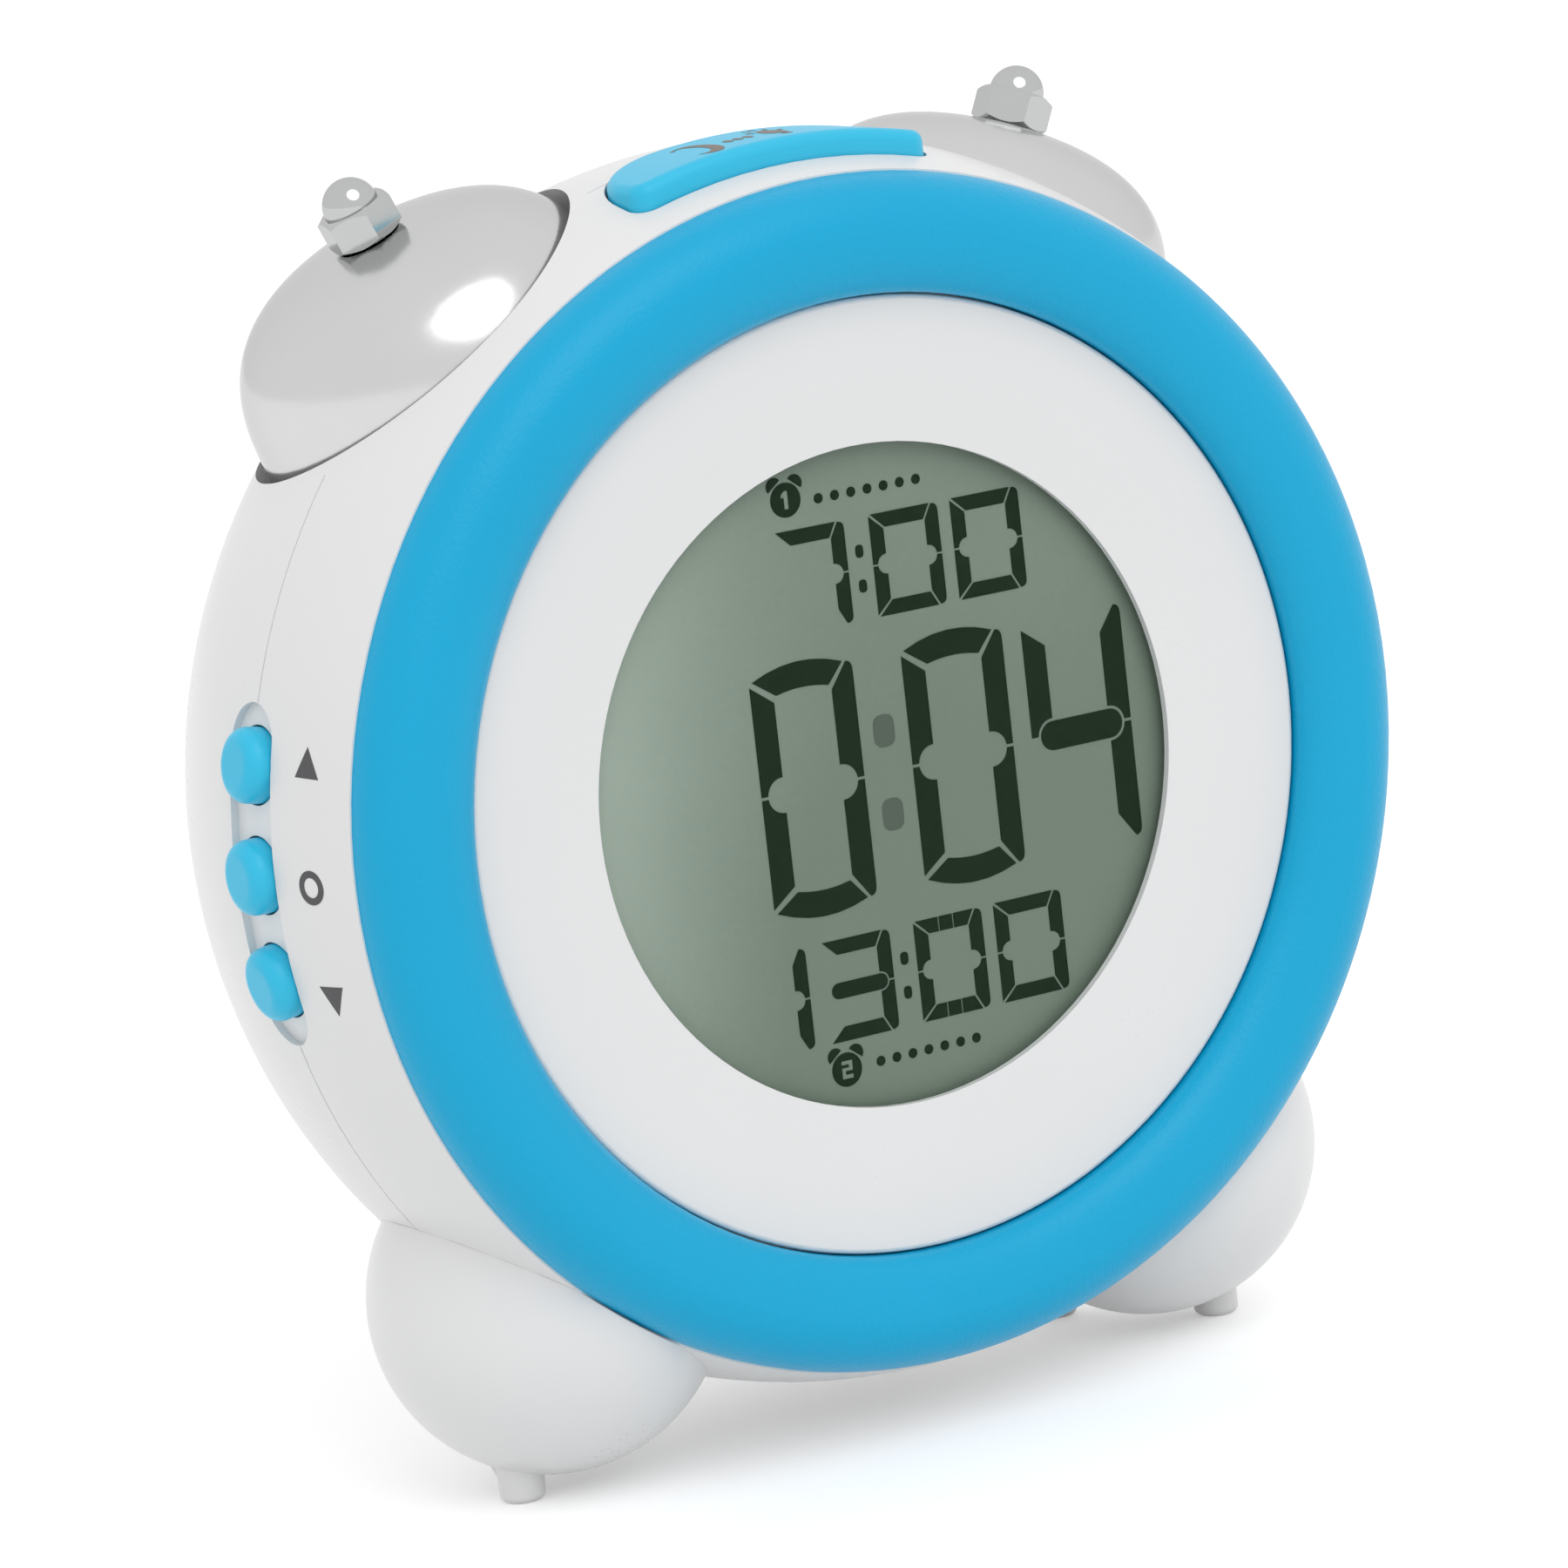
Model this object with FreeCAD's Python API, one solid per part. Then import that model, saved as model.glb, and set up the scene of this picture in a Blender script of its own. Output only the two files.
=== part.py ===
import FreeCAD, Part
import math
import os
from FreeCAD import Placement, Rotation, Vector

os.makedirs("parts", exist_ok=True)

# Twin-bell style digital alarm clock with a round lit display.
# It is drawn about the dial's axis: X to the right seen from the front, Y to the back, Z up,
# with the inner edge of the blue ring at y = 0. save() then sets it down on its feet.
# All lengths are millimetres.

turn = 360.0

# General clearances
fit_gap = 0.2
run_gap = 0.3
face_gap = 0.1
screw_gap = 0.05

# Display stack, front to back
window_r = 36.5
window_thickness = 1.0
lcd_thickness = 2.2
guide_thickness = 3.0
guide_inset = 1.7
guide_flat_cut = 3.0
reflector_thickness = 0.4
led_depth = 1.6
led_width = 3.2
led_height = 2.0
frame_wall = 5.4
frame_back = 1.2
frame_lap = 5.5
ear_reach = 4.8
ear_angle = 20.0
ear_width = 7.0
zebra_length = 24.0
zebra_width = 2.0

# White dish between the ring and the display
window_lap = 3.2
dish_edge_y = 0.35
dish_edge_round = 0.5
dish_break = 6.2
dish_blend = 2.5
dish_break_y = 0.75
dish_break_rise = 0.35
lip_y = 1.5
lip_thickness = 0.8
skirt_thickness = 2.2
skirt_length = 3.2
hook_reach = 0.9
hook_width = 12.0

# Blue ring round the dial
ring_seat = 3.1
ring_width = 11.9
ring_crest_share = 0.521
ring_crest_y = -3.3
ring_inner_y = 0.0
ring_peg_r = 1.5
ring_peg_length = 3.2
ring_peg_count = 6

# Barrel shaped case
barrel_arc_r = 50.0
barrel_mid_y = 19.5
seam_step = 0.2
front_seam_y = 2.2
parting_y = 16.7
rear_face_y = 50.0
rear_round = 2.5
rear_flat_inset = 3.8
wall = 2.0
tongue_length = 1.5
parting_groove = 0.2

# Main board and what it carries
board_inset = 0.7
board_thickness = 1.6
board_screw_angle = 60.0
blob_r = 5.5
blob_height = 1.8
crystal_r = 1.0
crystal_length = 6.0
capacitor_r = 3.0
capacitor_height = 8.0
socket_width = 6.0
socket_depth = 5.0
socket_height = 4.0
tact_side = 6.0
tact_height = 3.5
tact_knob_r = 1.7
tact_knob_height = 0.9

# Small screws
small_screw_r = 1.0
small_head_r = 2.0
small_head_height = 1.3
small_boss_r = 3.0

# Side buttons in their channel
button_r = 3.75
button_y = 17.4
button_angles = {"button_up": 169.7, "button_set": 179.65, "button_down": 189.45}
button_proud = 1.8
button_round = 1.6
button_flange_r = 4.5
button_flange_height = 1.2
button_stem_r = 1.5
button_travel = 0.8
channel_half_width = 3.9
channel_top_z = 17.3
channel_bottom_z = -16.9
channel_depth = 0.8
pad_thickness = 1.8
pad_half_width = 6.2
pad_half_height = 21.0

# Snooze and light bar on the top
bar_half_width = 16.9
bar_shift = -1.4
bar_front_y = 6.3
bar_rear_y = 19.0
bar_lift = 0.75
bar_skin = 2.2
bar_skirt = 1.5
bar_flange = 1.2
bar_corner = 2.0
bar_rear_corner = 9.0
bar_top_round = 1.2
bar_travel = 1.4
bar_post_r = 2.0

# Bells
bell_tilt = 24.3
bell_angle = 57.4
bell_rise = 6.5
bell_y = 26.7
bell_r = 20.2
bell_shoulder_drop = 16.0
bell_squareness = 1.1
bell_height = 19.2
bell_flare = 0.5
bell_sheet = 0.9
pocket_gap = 1.2
pocket_wall = 1.4
pocket_floor = 2.0
pocket_floor_gap = 0.8
stud_r = 1.95
stud_hole_gap = 0.25
spacer_r = 3.8
nut_across_flats = 7.0
nut_height = 1.6
cap_hex_height = 2.1
cap_dome_r = 2.85
cap_dome_sink = 0.5
stud_tail = 5.0

# Feet
foot_place_angle = 53.0
foot_sink = 3.19
foot_y = 19.0
foot_r = 18.0
foot_wall = 2.0
foot_boss_r = 3.4
foot_screw_y = 21.0
nub_r = 2.35
nub_height = foot_r * 0.9
nub_drop = 1.6
nub_out = 6.0
nub_y = 17.5
nub_round = 0.8
fin_length = 5.2
fin_rise = 4.0
rear_nub_in = 5.2
rear_nub_y = 31.5

# Case screws in wells from the back
case_screw_angle = 33.2
case_screw_reach = 2.1
case_screw_r = 1.4
case_head_r = 2.7
case_head_height = 2.0
well_r = 3.1
well_wall = 1.6
well_depth = 10.0
front_boss_r = 3.5
screw_tip_y = 7.0

# Battery compartment, three AA cells side by side
cell_r = 7.1
cell_length = 49.2
cell_tip_r = 2.75
cell_tip = 1.3
cell_count = 3
cell_pitch = 14.8
tub_clearance = 0.6
tub_end_room = 3.2
tub_centre_z = -7.5
tub_wall = 1.6
door_overlap = 1.6
door_corner = 2.0
tab_x = 12.0
tab_width = 6.0
tab_reach = 3.0
tab_thickness = 1.5
slot_room = 4.3
thumb_r = 7.0
thumb_depth = 0.8
plate_side = 9.0
plate_thickness = 0.4
spring_r = 3.5
spring_tip_r = 2.0

# Sounder above the battery door
sounder_r = 10.0
sounder_above_door = 2.0
sounder_thickness = 3.0
magnet_r = 5.0
magnet_thickness = 3.2
sounder_ring_wall = 1.4
grille_hole_r = 0.75
grille_pitch = 3.2

# Leads, from the contacts and the sounder to the board
lead_r = 0.6
lead_bend_share = 0.45
lead_spread = 3.0
lead_droop = 6.0


def rotated(x, y, angle):
    """the point (x, y) turned by angle degrees about the origin"""
    a = math.radians(angle)
    return x * math.cos(a) - y * math.sin(a), x * math.sin(a) + y * math.cos(a)


# Radii that follow from the window outwards
display_r = window_r - window_lap
dish_break_r = display_r + dish_break
guide_r = window_r - guide_inset
guide_flat_z = guide_flat_cut - guide_r
frame_window_r = window_r - frame_lap
frame_inner_r = window_r + run_gap
frame_outer_r = frame_inner_r + frame_wall
board_r = frame_outer_r - board_inset
board_screw_circle_r = (frame_inner_r + frame_outer_r) / 2
skirt_inner_r = frame_outer_r + run_gap
skirt_outer_r = skirt_inner_r + skirt_thickness
ear_circle_r = skirt_outer_r + ear_reach
front_hole_r = skirt_outer_r + run_gap
ring_inner_r = front_hole_r + ring_seat
ring_outer_r = ring_inner_r + ring_width
ring_crest_r = ring_inner_r + ring_width * ring_crest_share
barrel_arc_centre_r = ring_outer_r + seam_step - math.sqrt(barrel_arc_r ** 2 - (front_seam_y - barrel_mid_y) ** 2)
barrel_mid_r = barrel_arc_centre_r + barrel_arc_r
cut_r = barrel_mid_r + 2 * wall

# Places of the bells, feet and case screws round the barrel
bell_crown_x, bell_crown_z = rotated(barrel_mid_r + bell_rise, 0, bell_angle)
bar_top_r = barrel_mid_r + bar_lift
foot_centre_r = barrel_mid_r - foot_sink
foot_x, foot_z = rotated(foot_centre_r, 0, -foot_place_angle)
foot_boss_end_r = foot_centre_r + foot_r - foot_wall
nub_x = foot_x + nub_out
rear_nub_x = foot_x - rear_nub_in
dial_height = foot_r + nub_drop - foot_z
case_screw_x, case_screw_z = rotated(ring_inner_r + case_screw_reach, 0, case_screw_angle)


def line(a, b):
    """a straight edge of a profile, from points given as (radius, height)"""
    return Part.LineSegment(Vector(a[0], a[1], 0), Vector(b[0], b[1], 0)).toShape()


def conic(a, corner, b, weight):
    """a conic edge from a to b, tangent to the lines that meet at corner"""
    curve = Part.BezierCurve()
    curve.setPoles([Vector(p[0], p[1], 0) for p in (a, corner, b)])
    curve.setWeight(2, weight)
    return curve.toShape()


def quarter(a, corner, b):
    """a quarter of an ellipse from a to b"""
    return conic(a, corner, b, math.sqrt(0.5))


def circle_arc(a, middle, b):
    """a circular edge through three points"""
    points = [Vector(p[0], p[1], 0) for p in (a, middle, b)]
    return Part.Arc(*points).toShape()


def polyline(points):
    """straight edges that join the points in order"""
    return [line(a, b) for a, b in zip(points, points[1:])]


def spun(edges):
    """a closed profile of (radius, height) edges, turned about the Y axis"""
    face = Part.Face(Part.Wire(edges))
    return face.revolve(Vector(0, 0, 0), Vector(0, 1, 0), turn)


def ring(inner_r, outer_r, y0, y1):
    """a flat ring about the dial's axis"""
    outer = Part.makeCylinder(outer_r, y1 - y0, Vector(0, y0, 0), Vector(0, 1, 0))
    if inner_r <= 0:
        return outer
    return outer.cut(Part.makeCylinder(inner_r, y1 - y0, Vector(0, y0, 0), Vector(0, 1, 0)))


def box(x0, x1, y0, y1, z0, z1):
    """a block between two corners"""
    return Part.makeBox(x1 - x0, y1 - y0, z1 - z0, Vector(x0, y0, z0))


def post(x, z, radius, y0, y1):
    """a round post along Y"""
    return Part.makeCylinder(radius, y1 - y0, Vector(x, y0, z), Vector(0, 1, 0))


def joined(first, others):
    """first fused with the others, with shared faces merged"""
    return first.fuse(others).removeSplitter() if others else first


def hexagon(across_flats, height, base):
    """a hexagonal prism along +Z"""
    corner_r = across_flats / math.sqrt(3.0)
    points = [Vector(*rotated(corner_r, 0, 60 * i), base) for i in range(7)]
    return Part.Face(Part.makePolygon(points)).extrude(Vector(0, 0, height))


def barrel_r(y, offset=0.0):
    """radius of the case's skin at depth y, grown by offset"""
    return barrel_arc_centre_r + math.sqrt((barrel_arc_r + offset) ** 2 - (y - barrel_mid_y) ** 2)


def barrel(offset=0.0):
    """the case's outside as a solid, grown or shrunk by offset, down to the axis"""
    y0 = front_seam_y - offset
    y1 = rear_face_y + offset
    y_edge = y1 - rear_round
    r0 = barrel_r(y0, offset)
    r_edge = barrel_r(y_edge, offset)
    r1 = barrel_r(y1, offset)
    r_mid = barrel_r(barrel_mid_y, offset)
    flat_r = r_edge - rear_flat_inset
    edges = polyline([(flat_r, y1), (0, y1), (0, y0), (r0, y0)])
    edges.append(circle_arc((r0, y0), (r_mid, barrel_mid_y), (r_edge, y_edge)))
    edges.append(quarter((r_edge, y_edge), (r1, y1), (flat_r, y1)))
    return spun(edges)


def skin(offset):
    """a solid inside the case's curved skin grown by offset, open past the case's front and back"""
    y0 = front_seam_y - wall
    y1 = rear_wall_y
    edges = polyline([(barrel_r(y1, offset), y1), (0, y1), (0, y0), (barrel_r(y0, offset), y0)])
    edges.append(circle_arc((barrel_r(y0, offset), y0), (barrel_r(barrel_mid_y, offset), barrel_mid_y),
                            (barrel_r(y1, offset), y1)))
    return spun(edges)


def at_bell(shape, side):
    """a shape drawn about +Z with its origin at a bell's crown, put on the left or right bell"""
    moved = shape.copy()
    crown = Vector(side * bell_crown_x, bell_y, bell_crown_z)
    stand = Placement(crown, Rotation(Vector(0, 1, 0), side * bell_tilt))
    moved.Placement = stand.multiply(shape.Placement)
    return moved


def on_both_bells(shape):
    """the same shape on the left and the right bell, as separate solids"""
    return Part.makeCompound([at_bell(shape, -1), at_bell(shape, 1)])


def dome(radius, shoulder_drop, rim_r, height):
    """a bell's outside as a solid about +Z, with its crown at the origin"""
    edges = [conic((0, 0), (radius, 0), (radius, -shoulder_drop), bell_squareness)]
    edges += polyline([(radius, -shoulder_drop), (rim_r, -height), (0, -height), (0, 0)])
    shape = spun(edges)
    shape.rotate(Vector(0, 0, 0), Vector(1, 0, 0), 90)
    return shape


def grown_dome(grow, height):
    """the bell's outside grown by a gap, standing on a floor at height below the crown"""
    radius = bell_r + grow
    shape = dome(radius, bell_shoulder_drop + grow, radius + bell_flare, height + grow)
    shape.translate(Vector(0, 0, grow))
    return shape


def slot_prism(half_width, z0, z1, x0, x1):
    """a round-ended slot in the YZ plane, centred on the buttons, made solid along X"""
    low = z0 + half_width
    high = z1 - half_width
    body = box(x0, x1, button_y - half_width, button_y + half_width, low, high)
    ends = [
        Part.makeCylinder(half_width, x1 - x0, Vector(x0, button_y, z), Vector(1, 0, 0))
        for z in (low, high)
    ]
    return joined(body, ends)


def bar_outline(grow):
    """the press bar's plan, rounder at its rear corners, grown by a gap and extruded upward"""
    block = box(bar_shift - bar_half_width - grow, bar_shift + bar_half_width + grow,
                bar_front_y - grow, bar_rear_y + grow, 0, cut_r)
    for y, radius in ((bar_front_y - grow, bar_corner), (bar_rear_y + grow, bar_rear_corner)):
        corner_edges = [e for e in block.Edges if len(e.Vertexes) == 2 and e.BoundBox.ZLength > cut_r / 2
                        and abs(e.BoundBox.YMin - y) < face_gap]
        if radius + grow > face_gap:
            block = block.makeFillet(radius + grow, corner_edges)
    return block


def radial_cylinder(angle, y, radius, r0, r1):
    """a cylinder that runs outward from the dial's axis at an angle seen from the front"""
    a = math.radians(angle)
    out = Vector(math.cos(a), 0, math.sin(a))
    return Part.makeCylinder(radius, r1 - r0, Vector(out.x * r0, y, out.z * r0), out)


def lead(points, radius):
    """a wire along straight runs joined by tangent arcs"""
    corners = [Vector(*p) for p in points]
    edges = []
    start = corners[0]
    for before, corner, after in zip(corners, corners[1:], corners[2:]):
        to_before = (before - corner).normalize()
        to_after = (after - corner).normalize()
        half_turn = (math.pi - to_before.getAngle(to_after)) / 2
        reach = lead_bend_share * min((before - corner).Length, (after - corner).Length)
        bend_r = reach / math.tan(half_turn)
        a = corner + to_before * reach
        b = corner + to_after * reach
        inward = (to_before + to_after).normalize()
        middle = corner + inward * (bend_r / math.cos(half_turn) - bend_r)
        edges.append(Part.LineSegment(start, a).toShape())
        edges.append(Part.Arc(a, middle, b).toShape())
        start = b
    edges.append(Part.LineSegment(start, corners[-1]).toShape())
    path = Part.Wire(edges)
    direction = (corners[1] - corners[0]).normalize()
    section = Part.Wire(Part.makeCircle(radius, corners[0], direction))
    return path.makePipeShell([section], True, False)


def screw(x, z, shank_r, tip_y, seat_y, head_r, head_height):
    """a round-headed screw along Y, driven from the back"""
    return joined(post(x, z, shank_r, tip_y, seat_y + head_height),
                  [post(x, z, head_r, seat_y, seat_y + head_height)])


def save(name, shape):
    """writes one sub-part, set down on its feet and centred in depth"""
    placed = shape.copy()
    placed.translate(Vector(0, -(ring_crest_y + rear_face_y) / 2, dial_height))
    placed.exportStep("parts/" + name + ".step")
    solids = placed.Solids
    print(name, "solids", len(solids), "volume", round(sum(s.Volume for s in solids), 2),
          "valid", placed.isValid())


# Depths that follow from the stack
lip_back_y = lip_y + lip_thickness
window_back_y = lip_back_y + window_thickness
lcd_front_y = window_back_y + face_gap
lcd_back_y = lcd_front_y + lcd_thickness
guide_front_y = lcd_back_y + face_gap
guide_back_y = guide_front_y + guide_thickness
reflector_back_y = guide_back_y + reflector_thickness
frame_back_y = reflector_back_y + frame_back
board_back_y = frame_back_y + board_thickness
front_wall_y = front_seam_y + wall
rear_wall_y = rear_face_y - wall
button_top_r = barrel_r(button_y) + button_proud

ear_places = [rotated(ear_circle_r, 0, a)
              for a in (ear_angle, 180 - ear_angle, 180 + ear_angle, -ear_angle)]
board_screw_places = [rotated(board_screw_circle_r, 0, a)
                      for a in (board_screw_angle, 180 - board_screw_angle,
                                180 + board_screw_angle, -board_screw_angle)]
peg_places = [rotated((ring_outer_r + ring_inner_r) / 2, 0, 30 + 360 / ring_peg_count * i)
              for i in range(ring_peg_count)]
case_screw_places = [(side * case_screw_x, z) for side in (-1, 1)
                     for z in (case_screw_z, -case_screw_z)]

# Battery compartment outline
tub_half_x = (cell_count - 1) / 2 * cell_pitch + cell_r + tub_clearance
tub_half_z = (cell_length + cell_tip) / 2 + tub_end_room
tub_floor_y = rear_wall_y - 2 * cell_r - tub_clearance
door_half_x = tub_half_x + door_overlap
door_half_z = tub_half_z + door_overlap
door_low_z = tub_centre_z - door_half_z
door_high_z = tub_centre_z + door_half_z
sounder_z = door_high_z + sounder_r + sounder_above_door


def bell_pocket(side):
    """the walled pocket that a bell stands in, and the space it leaves free"""
    depth = bell_height + pocket_floor_gap
    void = at_bell(grown_dome(pocket_gap, depth), side)
    cup = at_bell(grown_dome(pocket_gap + pocket_wall, depth + pocket_floor), side)
    stud_hole = Part.makeCylinder(stud_r + stud_hole_gap, 2 * pocket_floor,
                                  Vector(0, 0, -depth - 2 * pocket_floor))
    return cup, void, at_bell(stud_hole, side)


def case_body():
    """both shells in one piece, with everything that crosses the parting line"""
    outside = barrel()
    inside = barrel(-wall)
    body = outside.cut(inside)
    cups = []
    voids = []
    for side in (-1, 1):
        cup, void, stud_hole = bell_pocket(side)
        cups.append(cup.common(outside))
        voids += [void, stud_hole]
    pad = ring(barrel_r(button_y) - channel_depth - pad_thickness, barrel_r(button_y) - wall / 2,
               button_y - pad_half_width, button_y + pad_half_width)
    pad = pad.common(box(-barrel_r(barrel_mid_y), -board_r, 0, rear_face_y,
                         -pad_half_height, pad_half_height))
    parting = skin(wall).cut(skin(-parting_groove)).common(
        ring(0, cut_r, parting_y - parting_groove / 2, parting_y + parting_groove / 2))
    body = body.cut(parting)
    body = body.fuse(cups + [pad])
    body = body.cut(voids)
    channel = slot_prism(channel_half_width, channel_bottom_z, channel_top_z,
                         -barrel_r(barrel_mid_y) - wall, -board_r)
    body = body.cut(channel.cut(skin(-channel_depth)))
    for angle in button_angles.values():
        body = body.cut(radial_cylinder(angle, button_y, button_r + fit_gap, board_r, button_top_r + wall))
    return body.cut(bar_outline(run_gap))


def front_shell(body):
    """front half of the case with its bosses and the register tongue"""
    shell = body.common(ring(0, cut_r, front_seam_y - wall, parting_y))
    tongue_y = parting_y + tongue_length
    tongue_outer = wall / 2 - fit_gap / 2
    tongue = ring(0, barrel_r(parting_y, -wall) + tongue_outer, parting_y - wall, tongue_y)
    tongue = tongue.cut(ring(0, barrel_r(parting_y, -wall) - tongue_outer / 2, parting_y - wall, tongue_y))
    tongue = tongue.cut([slot_prism(pad_half_width, -pad_half_height, pad_half_height,
                                    -cut_r, 0),
                         bar_outline(bar_flange + wall), pocket_clear(-1), pocket_clear(1)])
    tongue = tongue.cut(foot_screw_room())
    bosses = [post(x, z, small_boss_r, front_wall_y - wall / 2, reflector_back_y) for x, z in ear_places]
    bosses += [post(x, z, front_boss_r, front_wall_y - wall / 2, parting_y) for x, z in case_screw_places]
    shell = joined(shell, bosses + [tongue])
    holes = [ring(0, front_hole_r, 0, front_wall_y)]
    holes += [post(x, z, ring_peg_r + face_gap, 0, front_seam_y + ring_peg_length + face_gap)
              for x, z in peg_places]
    holes += [post(x, z, small_screw_r + screw_gap, front_wall_y, parting_y) for x, z in ear_places]
    holes += [post(x, z, case_screw_r + screw_gap, screw_tip_y - wall / 2, parting_y)
              for x, z in case_screw_places]
    return shell.cut(holes)


def pocket_clear(side):
    """room round a bell's cup that the tongue keeps out of"""
    depth = bell_height + pocket_floor_gap + pocket_floor
    return at_bell(grown_dome(pocket_gap + pocket_wall + fit_gap, depth), side)


def foot_angle(side):
    """angle of a foot seen from the front"""
    return math.degrees(math.atan2(foot_z, side * foot_x))


def foot_screw_room():
    """room that the foot screws' heads need inside the case"""
    return [radial_cylinder(foot_angle(side), foot_screw_y, small_head_r + 2 * run_gap,
                            barrel_r(foot_screw_y, -wall) - 2 * wall, barrel_r(foot_screw_y, -wall))
            for side in (-1, 1)]


def rear_shell(body):
    """rear half of the case with the battery tub, screw wells and sounder seat"""
    shell = body.common(ring(0, cut_r, parting_y, rear_face_y))
    outside = barrel()
    groove = ring(0, barrel_r(parting_y, -wall) + wall / 2, parting_y - wall,
                  parting_y + tongue_length + face_gap)
    groove = groove.cut(slot_prism(pad_half_width - fit_gap, -pad_half_height, pad_half_height,
                                   -cut_r, 0))
    groove = groove.cut([pocket_cup(-1), pocket_cup(1)])
    shell = shell.cut(groove)
    tub = box(-door_half_x - tub_wall, door_half_x + tub_wall, tub_floor_y - tub_wall, rear_wall_y,
              door_low_z - tub_wall, door_high_z + tub_wall)
    wells = [post(x, z, well_r + well_wall, parting_y, rear_face_y).common(outside)
             for x, z in case_screw_places]
    seat = ring(sounder_r + fit_gap, sounder_r + fit_gap + sounder_ring_wall,
                rear_wall_y - sounder_thickness, rear_wall_y)
    seat.translate(Vector(0, 0, sounder_z))
    shell = joined(shell, [tub, seat] + wells)
    cuts = [box(-tub_half_x, tub_half_x, tub_floor_y, rear_face_y,
                tub_centre_z - tub_half_z, tub_centre_z + tub_half_z),
            rounded_plate(door_half_x + run_gap, door_low_z - run_gap, door_high_z + run_gap,
                          rear_wall_y, rear_face_y, door_corner + run_gap)]
    for side in (-1, 1):
        half = tab_width / 2 + run_gap
        cuts.append(box(side * tab_x - half, side * tab_x + half, rear_wall_y - slot_room, rear_wall_y,
                        door_low_z - tab_reach - 2 * tub_wall, tub_centre_z - tub_half_z + tub_wall))
        cuts.append(radial_cylinder(foot_angle(side), foot_screw_y, small_screw_r + fit_gap,
                                    board_r, foot_boss_end_r))
    for x, z in case_screw_places:
        cuts.append(post(x, z, well_r, rear_face_y - well_depth, rear_face_y))
        cuts.append(post(x, z, case_screw_r + fit_gap, parting_y, rear_face_y))
    cuts += grille_holes()
    return shell.cut(cuts)


def pocket_cup(side):
    """a bell's cup as a solid, which the groove leaves whole"""
    return bell_pocket(side)[0]


def grille_holes():
    """round sound holes in a hexagonal pattern"""
    places = [(0.0, 0.0)]
    for i in range(6):
        a = rotated(grille_pitch, 0, 60 * i)
        b = rotated(grille_pitch, 0, 60 * (i + 1))
        places += [a, (2 * a[0], 2 * a[1]), (a[0] + b[0], a[1] + b[1])]
    return [post(x, sounder_z + z, grille_hole_r, rear_wall_y - wall, rear_face_y) for x, z in places]


def rounded_plate(half_x, z0, z1, y0, y1, corner):
    """a plate in the XZ plane with round corners"""
    plate = box(-half_x, half_x, y0, y1, z0, z1)
    upright = [e for e in plate.Edges
               if abs(e.Vertexes[0].Z - e.Vertexes[1].Z) < 1e-6
               and abs(e.Vertexes[0].X - e.Vertexes[1].X) < 1e-6]
    return plate.makeFillet(corner, upright)


def bezel_ring():
    """blue ring with a rounded crest and pegs into the case's front wall"""
    crest = (ring_crest_r, ring_crest_y)
    outer = (ring_outer_r, front_seam_y)
    inner = (ring_inner_r, ring_inner_y)
    edges = [quarter(outer, (ring_outer_r, ring_crest_y), crest),
             quarter(crest, (ring_inner_r, ring_crest_y), inner)]
    edges += polyline([inner, (ring_inner_r, front_seam_y), outer])
    pegs = [post(x, z, ring_peg_r, ring_inner_y + wall / 2, front_seam_y + ring_peg_length)
            for x, z in peg_places]
    return joined(spun(edges), pegs)


def dial_dish():
    """white dish that slopes in to the display, with a skirt and hooks behind the case's front wall"""
    outer_r = ring_inner_r - fit_gap
    blend_start = (dish_break_r + dish_blend, dish_break_y - dish_break_rise / 3)
    blend_end = (dish_break_r - dish_blend, dish_break_y + dish_break_rise)
    edges = polyline([(outer_r - dish_edge_round, dish_edge_y), blend_start])
    edges.append(conic(blend_start, (dish_break_r, dish_break_y), blend_end, 1.0))
    edges += polyline([blend_end, (display_r, lip_y),
                       (display_r, lip_back_y), (skirt_inner_r, lip_back_y),
                       (skirt_inner_r, lip_back_y + skirt_length),
                       (skirt_outer_r, lip_back_y + skirt_length),
                       (skirt_outer_r, front_seam_y), (outer_r, front_seam_y),
                       (outer_r, dish_edge_y + dish_edge_round)])
    edges.append(quarter((outer_r, dish_edge_y + dish_edge_round), (outer_r, dish_edge_y),
                         (outer_r - dish_edge_round, dish_edge_y)))
    lips = ring(skirt_outer_r - face_gap, front_hole_r + hook_reach, front_wall_y + face_gap,
                lip_back_y + skirt_length)
    half = hook_width / 2
    reach = ring_outer_r
    cross = joined(box(-half, half, 0, reach, -reach, reach), [box(-reach, reach, 0, reach, -half, half)])
    return joined(spun(edges), lips.common(cross).Solids)


def lcd_frame():
    """cup that holds the display stack and the board, with ears screwed to the front shell"""
    body = ring(frame_inner_r, frame_outer_r, lip_back_y, frame_back_y)
    back = ring(frame_window_r, frame_outer_r, reflector_back_y, frame_back_y)
    ears = []
    for x, z in ear_places:
        arm = box(board_r - frame_wall / 4, ear_circle_r, reflector_back_y, frame_back_y,
                  -ear_width / 2, ear_width / 2)
        arm.rotate(Vector(0, 0, 0), Vector(0, 1, 0), -math.degrees(math.atan2(z, x)))
        ears += [arm, post(x, z, ear_width / 2, reflector_back_y, frame_back_y)]
    body = joined(body, [back] + ears)
    holes = [post(x, z, small_screw_r + fit_gap, reflector_back_y, frame_back_y) for x, z in ear_places]
    holes += [post(x, z, small_screw_r + screw_gap, lcd_back_y, frame_back_y) for x, z in board_screw_places]
    holes.append(zebra_block(fit_gap))
    return body.cut(holes)


def zebra_block(grow):
    """the rubber contact strip, grown by a gap where a slot is cut for it"""
    half = zebra_length / 2 + grow
    top = guide_flat_z - fit_gap + grow
    y_grow = 1 if grow else 0
    return box(-half, half, lcd_back_y, frame_back_y + y_grow, top - zebra_width - 2 * grow, top)


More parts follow.
